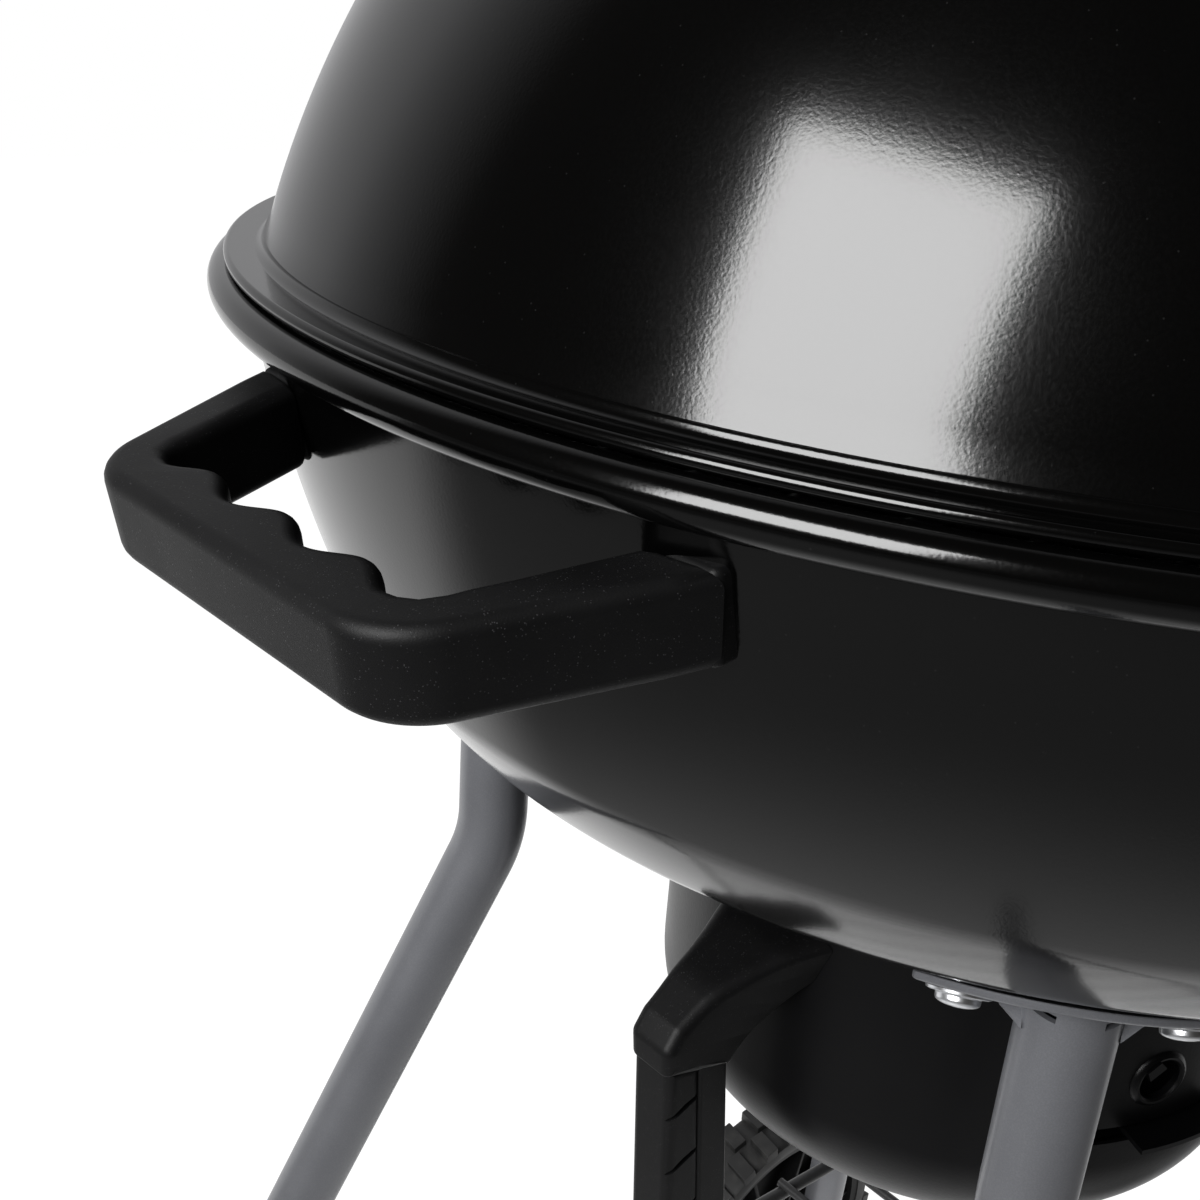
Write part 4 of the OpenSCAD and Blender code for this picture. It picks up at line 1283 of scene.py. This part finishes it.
@dataclass
class Wheel:
    """One wheel: a ribbed disc and a block-tread tyre on the axle."""

    side: Side
    x: float = 213.45
    z: float = 102.0
    y: float = 220.21
    r: float = 102.0
    wide: float = 36.0
    hub_r: float = 17.0
    spokes: int = 10
    lugs: int = 30
    body: Body = field(init=False)

    def __post_init__(self) -> None:
        """Finds the body that this wheel rides on."""
        self.body = Body.WHEEL_LEFT if self.side is Side.LEFT else Body.WHEEL_RIGHT

    def at(self) -> Matrix:
        """The wheel's frame, +Z along the axle and away from the grill."""
        s = self.side.value
        return shift(self.x, s * self.y, self.z) @ turn(-90 * s, "X")

    def build(self) -> None:
        """Builds the disc and the tyre."""
        name, half = self.side.name.lower(), self.wide / 2
        face = self.r - 15.0
        hub, bore = self.hub_r, 5.2
        rim = lathe(f"wheel_disc_{name}", [
            (face, 2 - half), (face + 0.2, half - 2), (face - 1.5, half - 0.8), (face - 4, half - 1.6),
            (face - 5, half - 4), (face - 6, 3), (face - 22, 2.4), (hub + 12, 4.2), (hub + 2, 8),
            (hub, half - 1),
            (hub - 2, half), (hub - 8, half), (bore, half - 1), (bore, 1 - half), (hub - 2, -half),
            (hub, 2 - half), (hub + 2, -4), (hub + 12, -1.2), (face - 6, -0.8), (face - 5, 3 - half),
        ], 128)
        near, far = self.hub_r - 1, face - 3
        side = [(near, 3 - half), (far, 6 - half), (far, half - 6), (near, half - 3)]
        corners = [(x, y, z) for y in (-1.4, 1.4) for x, z in side]
        turns = [turn(i * 360 / self.spokes) for i in range(self.spokes)]
        disc = join(rim.name, rim, *(place(bevel(prism("rib", corners), 0.6, 2), at) for at in turns))
        dress(place(disc, self.at()), PLASTIC, self.body, f"wheel_{name}")
        dress(place(self.tyre(f"tyre_tread_{name}"), self.at()), RUBBER, self.body, f"tyre_{name}")

    def tyre(self, name: str) -> bpy.types.Object:
        """Builds the carcass with two staggered rows of angled blocks."""
        half, face, low = self.wide / 2, self.r - 15.0, self.r - 4.5
        upper = [(face + 0.2, half - 1.4), (low - 6, half - 0.4), (low - 2, half - 1.0), (low, half - 4)]
        section = [(r, -z) for r, z in upper] + [(low + 0.3, 0)] + upper[::-1]
        flat = [(-5.6, 1.2), (4.2, 0.6), (6.6, half - 0.4), (-3.0, half - 0.2)]
        root = low - 2.5
        blocks = []
        for row in (-1, 1):
            base = [(root, y * row * 1.06, z * row) for y, z in flat]
            tread = [(math.sqrt(self.r**2 - y**2), y * row, z * row) for y, z in flat]
            for i in range(self.lugs):
                spin = turn((i + row / 4) * 360 / self.lugs)
                blocks.append(place(bevel(prism("block", base + tread), 0.7, 2), spin))
        return join(name, lathe(name, section, 128), *blocks)


# ---------------------------------------------------------------- studio


@dataclass
class Studio:
    """Floor, lights, surroundings and camera."""

    eye: tuple[float, float, float] = (-0.3739, -0.2115, 0.8685)
    forward: tuple[float, float, float] = (0.6291, 0.6673, -0.3986)
    upward: tuple[float, float, float] = (0.2234, 0.3360, 0.9150)
    lens: float = 43.49
    away: tuple[float, float, float] = (0.686, 0.728, 0.0)

    def camera(self) -> None:
        """Places the camera close above the towing handle."""
        data = bpy.data.cameras.new("camera")
        data.lens = self.lens
        data.sensor_width = 36.0
        data.clip_start = 0.01
        camera = bpy.data.objects.new("camera", data)
        back = -Vector(self.forward).normalized()
        right = Vector(self.upward).cross(back).normalized()
        up = back.cross(right)
        camera.matrix_world = Matrix.Translation(self.eye) @ Matrix((right, up, back)).transposed().to_4x4()
        bpy.context.collection.objects.link(camera)
        bpy.context.scene.camera = camera

    def floor(self) -> None:
        """Lays a wide pale floor that glows, with painted shade that dulls its glow far out towards the dark
        side of the room.
        """
        far_x = 6000
        corners = [(-far_x, -far_x, 0), (far_x, -far_x, 0), (far_x, far_x, 0), (-far_x, far_x, 0)]
        floor = mesh_object("floor", corners, [(0, 1, 2, 3)])
        shade = Shade("pale_floor")
        reach = shade.vector("LENGTH", shade.place, out="Value")
        # painted shade: far out on the room's dark side the floor's glow drops from 0.97 to 0.07
        far = reach.step(0.10, 0.75) * (1.0 - shade.along(self.away).step(0.05, 0.40))
        cloud = shade.noise(0.8)
        floor.data.materials.append(
            shade.surface(
                Base_Color=shade.mix(cloud, (0.13, 0.13, 0.13), (0.15, 0.15, 0.15)),
                Emission_Color=shade.mix(far, (0.97, 0.97, 0.97), (0.07, 0.07, 0.07)),
                Emission_Strength=1.0,
                Roughness=0.9,
            )
        )

    def area(self, name: str, at: Sequence[float], aim: Sequence[float], size: Point, power: float) -> None:
        """Adds one softbox.

        Args:
            name: The light's name.
            at: Its place in metres.
            aim: The point it faces.
            size: Width and height in metres.
            power: Watts.
        """
        data = bpy.data.lights.new(name, "AREA")
        data.shape = "RECTANGLE"
        data.size, data.size_y = size
        data.energy = power
        light = bpy.data.objects.new(name, data)
        toward = (Vector(aim) - Vector(at)).normalized()
        light.matrix_world = Matrix.Translation(at) @ toward.to_track_quat("-Z", "Y").to_matrix().to_4x4()
        light.visible_camera = False
        bpy.context.collection.objects.link(light)

    def surroundings(self) -> None:
        """Gives the room a pale cove, a dark side and a white backdrop."""
        world = bpy.data.worlds.new("studio")
        bpy.context.scene.world = world
        world.use_nodes = True
        tree = world.node_tree
        tree.nodes.clear()
        out = tree.nodes.new("ShaderNodeOutputWorld")
        mix = tree.nodes.new("ShaderNodeMixShader")
        seen = tree.nodes.new("ShaderNodeBackground")
        seen.inputs[0].default_value = (1, 1, 1, 1)
        seen.inputs[1].default_value = 1.0
        room = tree.nodes.new("ShaderNodeBackground")
        path = tree.nodes.new("ShaderNodeLightPath")
        place_of = tree.nodes.new("ShaderNodeTexCoord")
        dot = tree.nodes.new("ShaderNodeVectorMath")
        dot.operation = "DOT_PRODUCT"
        dot.inputs[1].default_value = self.away
        ramp = tree.nodes.new("ShaderNodeValToRGB")
        dark, dim = (0.030, 0.027, 0.024), (0.045, 0.042, 0.040)
        grey, pale = (0.33, 0.33, 0.335), (0.62, 0.62, 0.63)
        stops = [(0.0, dark), (0.60, dim), (0.69, grey), (0.79, pale)]
        while len(ramp.color_ramp.elements) < len(stops):
            ramp.color_ramp.elements.new(0.5)
        for element, (position, colour) in zip(ramp.color_ramp.elements, stops):
            element.position = position
            element.color = (*colour, 1.0)
        scale = tree.nodes.new("ShaderNodeMapRange")
        scale.inputs[1].default_value = -1.0
        links = tree.links
        links.new(place_of.outputs["Generated"], dot.inputs[0])
        links.new(dot.outputs["Value"], scale.inputs[0])
        links.new(scale.outputs[0], ramp.inputs[0])
        links.new(ramp.outputs[0], room.inputs[0])
        room.inputs[1].default_value = 1.0
        links.new(path.outputs["Is Camera Ray"], mix.inputs[0])
        links.new(room.outputs[0], mix.inputs[1])
        links.new(seen.outputs[0], mix.inputs[2])
        links.new(mix.outputs[0], out.inputs[0])

    def build(self) -> None:
        """Sets the whole studio up."""
        bpy.context.scene.view_settings.view_transform = "Standard"
        self.camera()
        self.floor()
        self.surroundings()
        self.area("key_softbox", (-1.85, -0.17, 1.72), (-0.20, -0.08, 0.82), (1.08, 1.14), 88.0)


# ---------------------------------------------------------------- assembly


def main() -> None:
    """Builds the studio and every sub-assembly in order."""
    logging.basicConfig(level=logging.INFO, format="%(message)s")
    Studio().build()
    lid, bowl = Lid(), Bowl()
    lid.build()
    lid.handle()
    bowl.build()
    handle = TowHandle()
    handle.build()
    handle.brackets()
    places = []
    for azimuth, lean, foot_z, name in (
        (140.5, 22.0, 13.0, "front_left"),
        (-140.5, 22.0, 13.0, "front_right"),
        (39.5, 13.25, 86.0, "rear_left"),
        (-39.5, 13.25, 86.0, "rear_right"),
    ):
        leg = Leg(azimuth, lean, foot_z, bowl, name)
        leg.build()
        places += leg.screw_places()
    heads = many("flange_screw_heads", cross_screw("screw", 7.3, 5.0, 2.8), places)
    dress(heads, ZINC, Body.FRAME, "flange_screws")
    pot = AshPot()
    pot.build()
    pot.arm()
    pot.grip()
    for side in Side:
        Wheel(side).build()
    keep(STEEL, "lid_damper", "thermometer_case", "cooking_grate", "charcoal_grate", "lid_heat_shield")
    keep(ZINC, "lid_handle_posts", "lid_handle_screws", "lid_hook", "lid_damper_rivet", "thermometer_nut")
    keep(ZINC, "tow_handle_screws")
    keep(ZINC, "flange_nuts", "axle", "shelf_screws", "pot_hooks", "ash_screws", "grate_brackets")
    keep(PLASTIC, "foot_left", "foot_right", "axle_cap_left", "axle_cap_right")
    keep(WIRE, "shelf_rack")
    keep(POT_BLACK, "pot_damper")
    keep(RedPaint(), "thermometer_needle")
    keep(Glass(), "thermometer_lens")
    gauge = lid.on_dome(-90, 48)
    across, upward = tuple(gauge.col[1].xyz), tuple(-gauge.col[0].xyz)
    keep(Dial(centre=tuple(gauge.translation), across=across, upward=upward), "thermometer_dial")


if __name__ == "__main__":
    main()
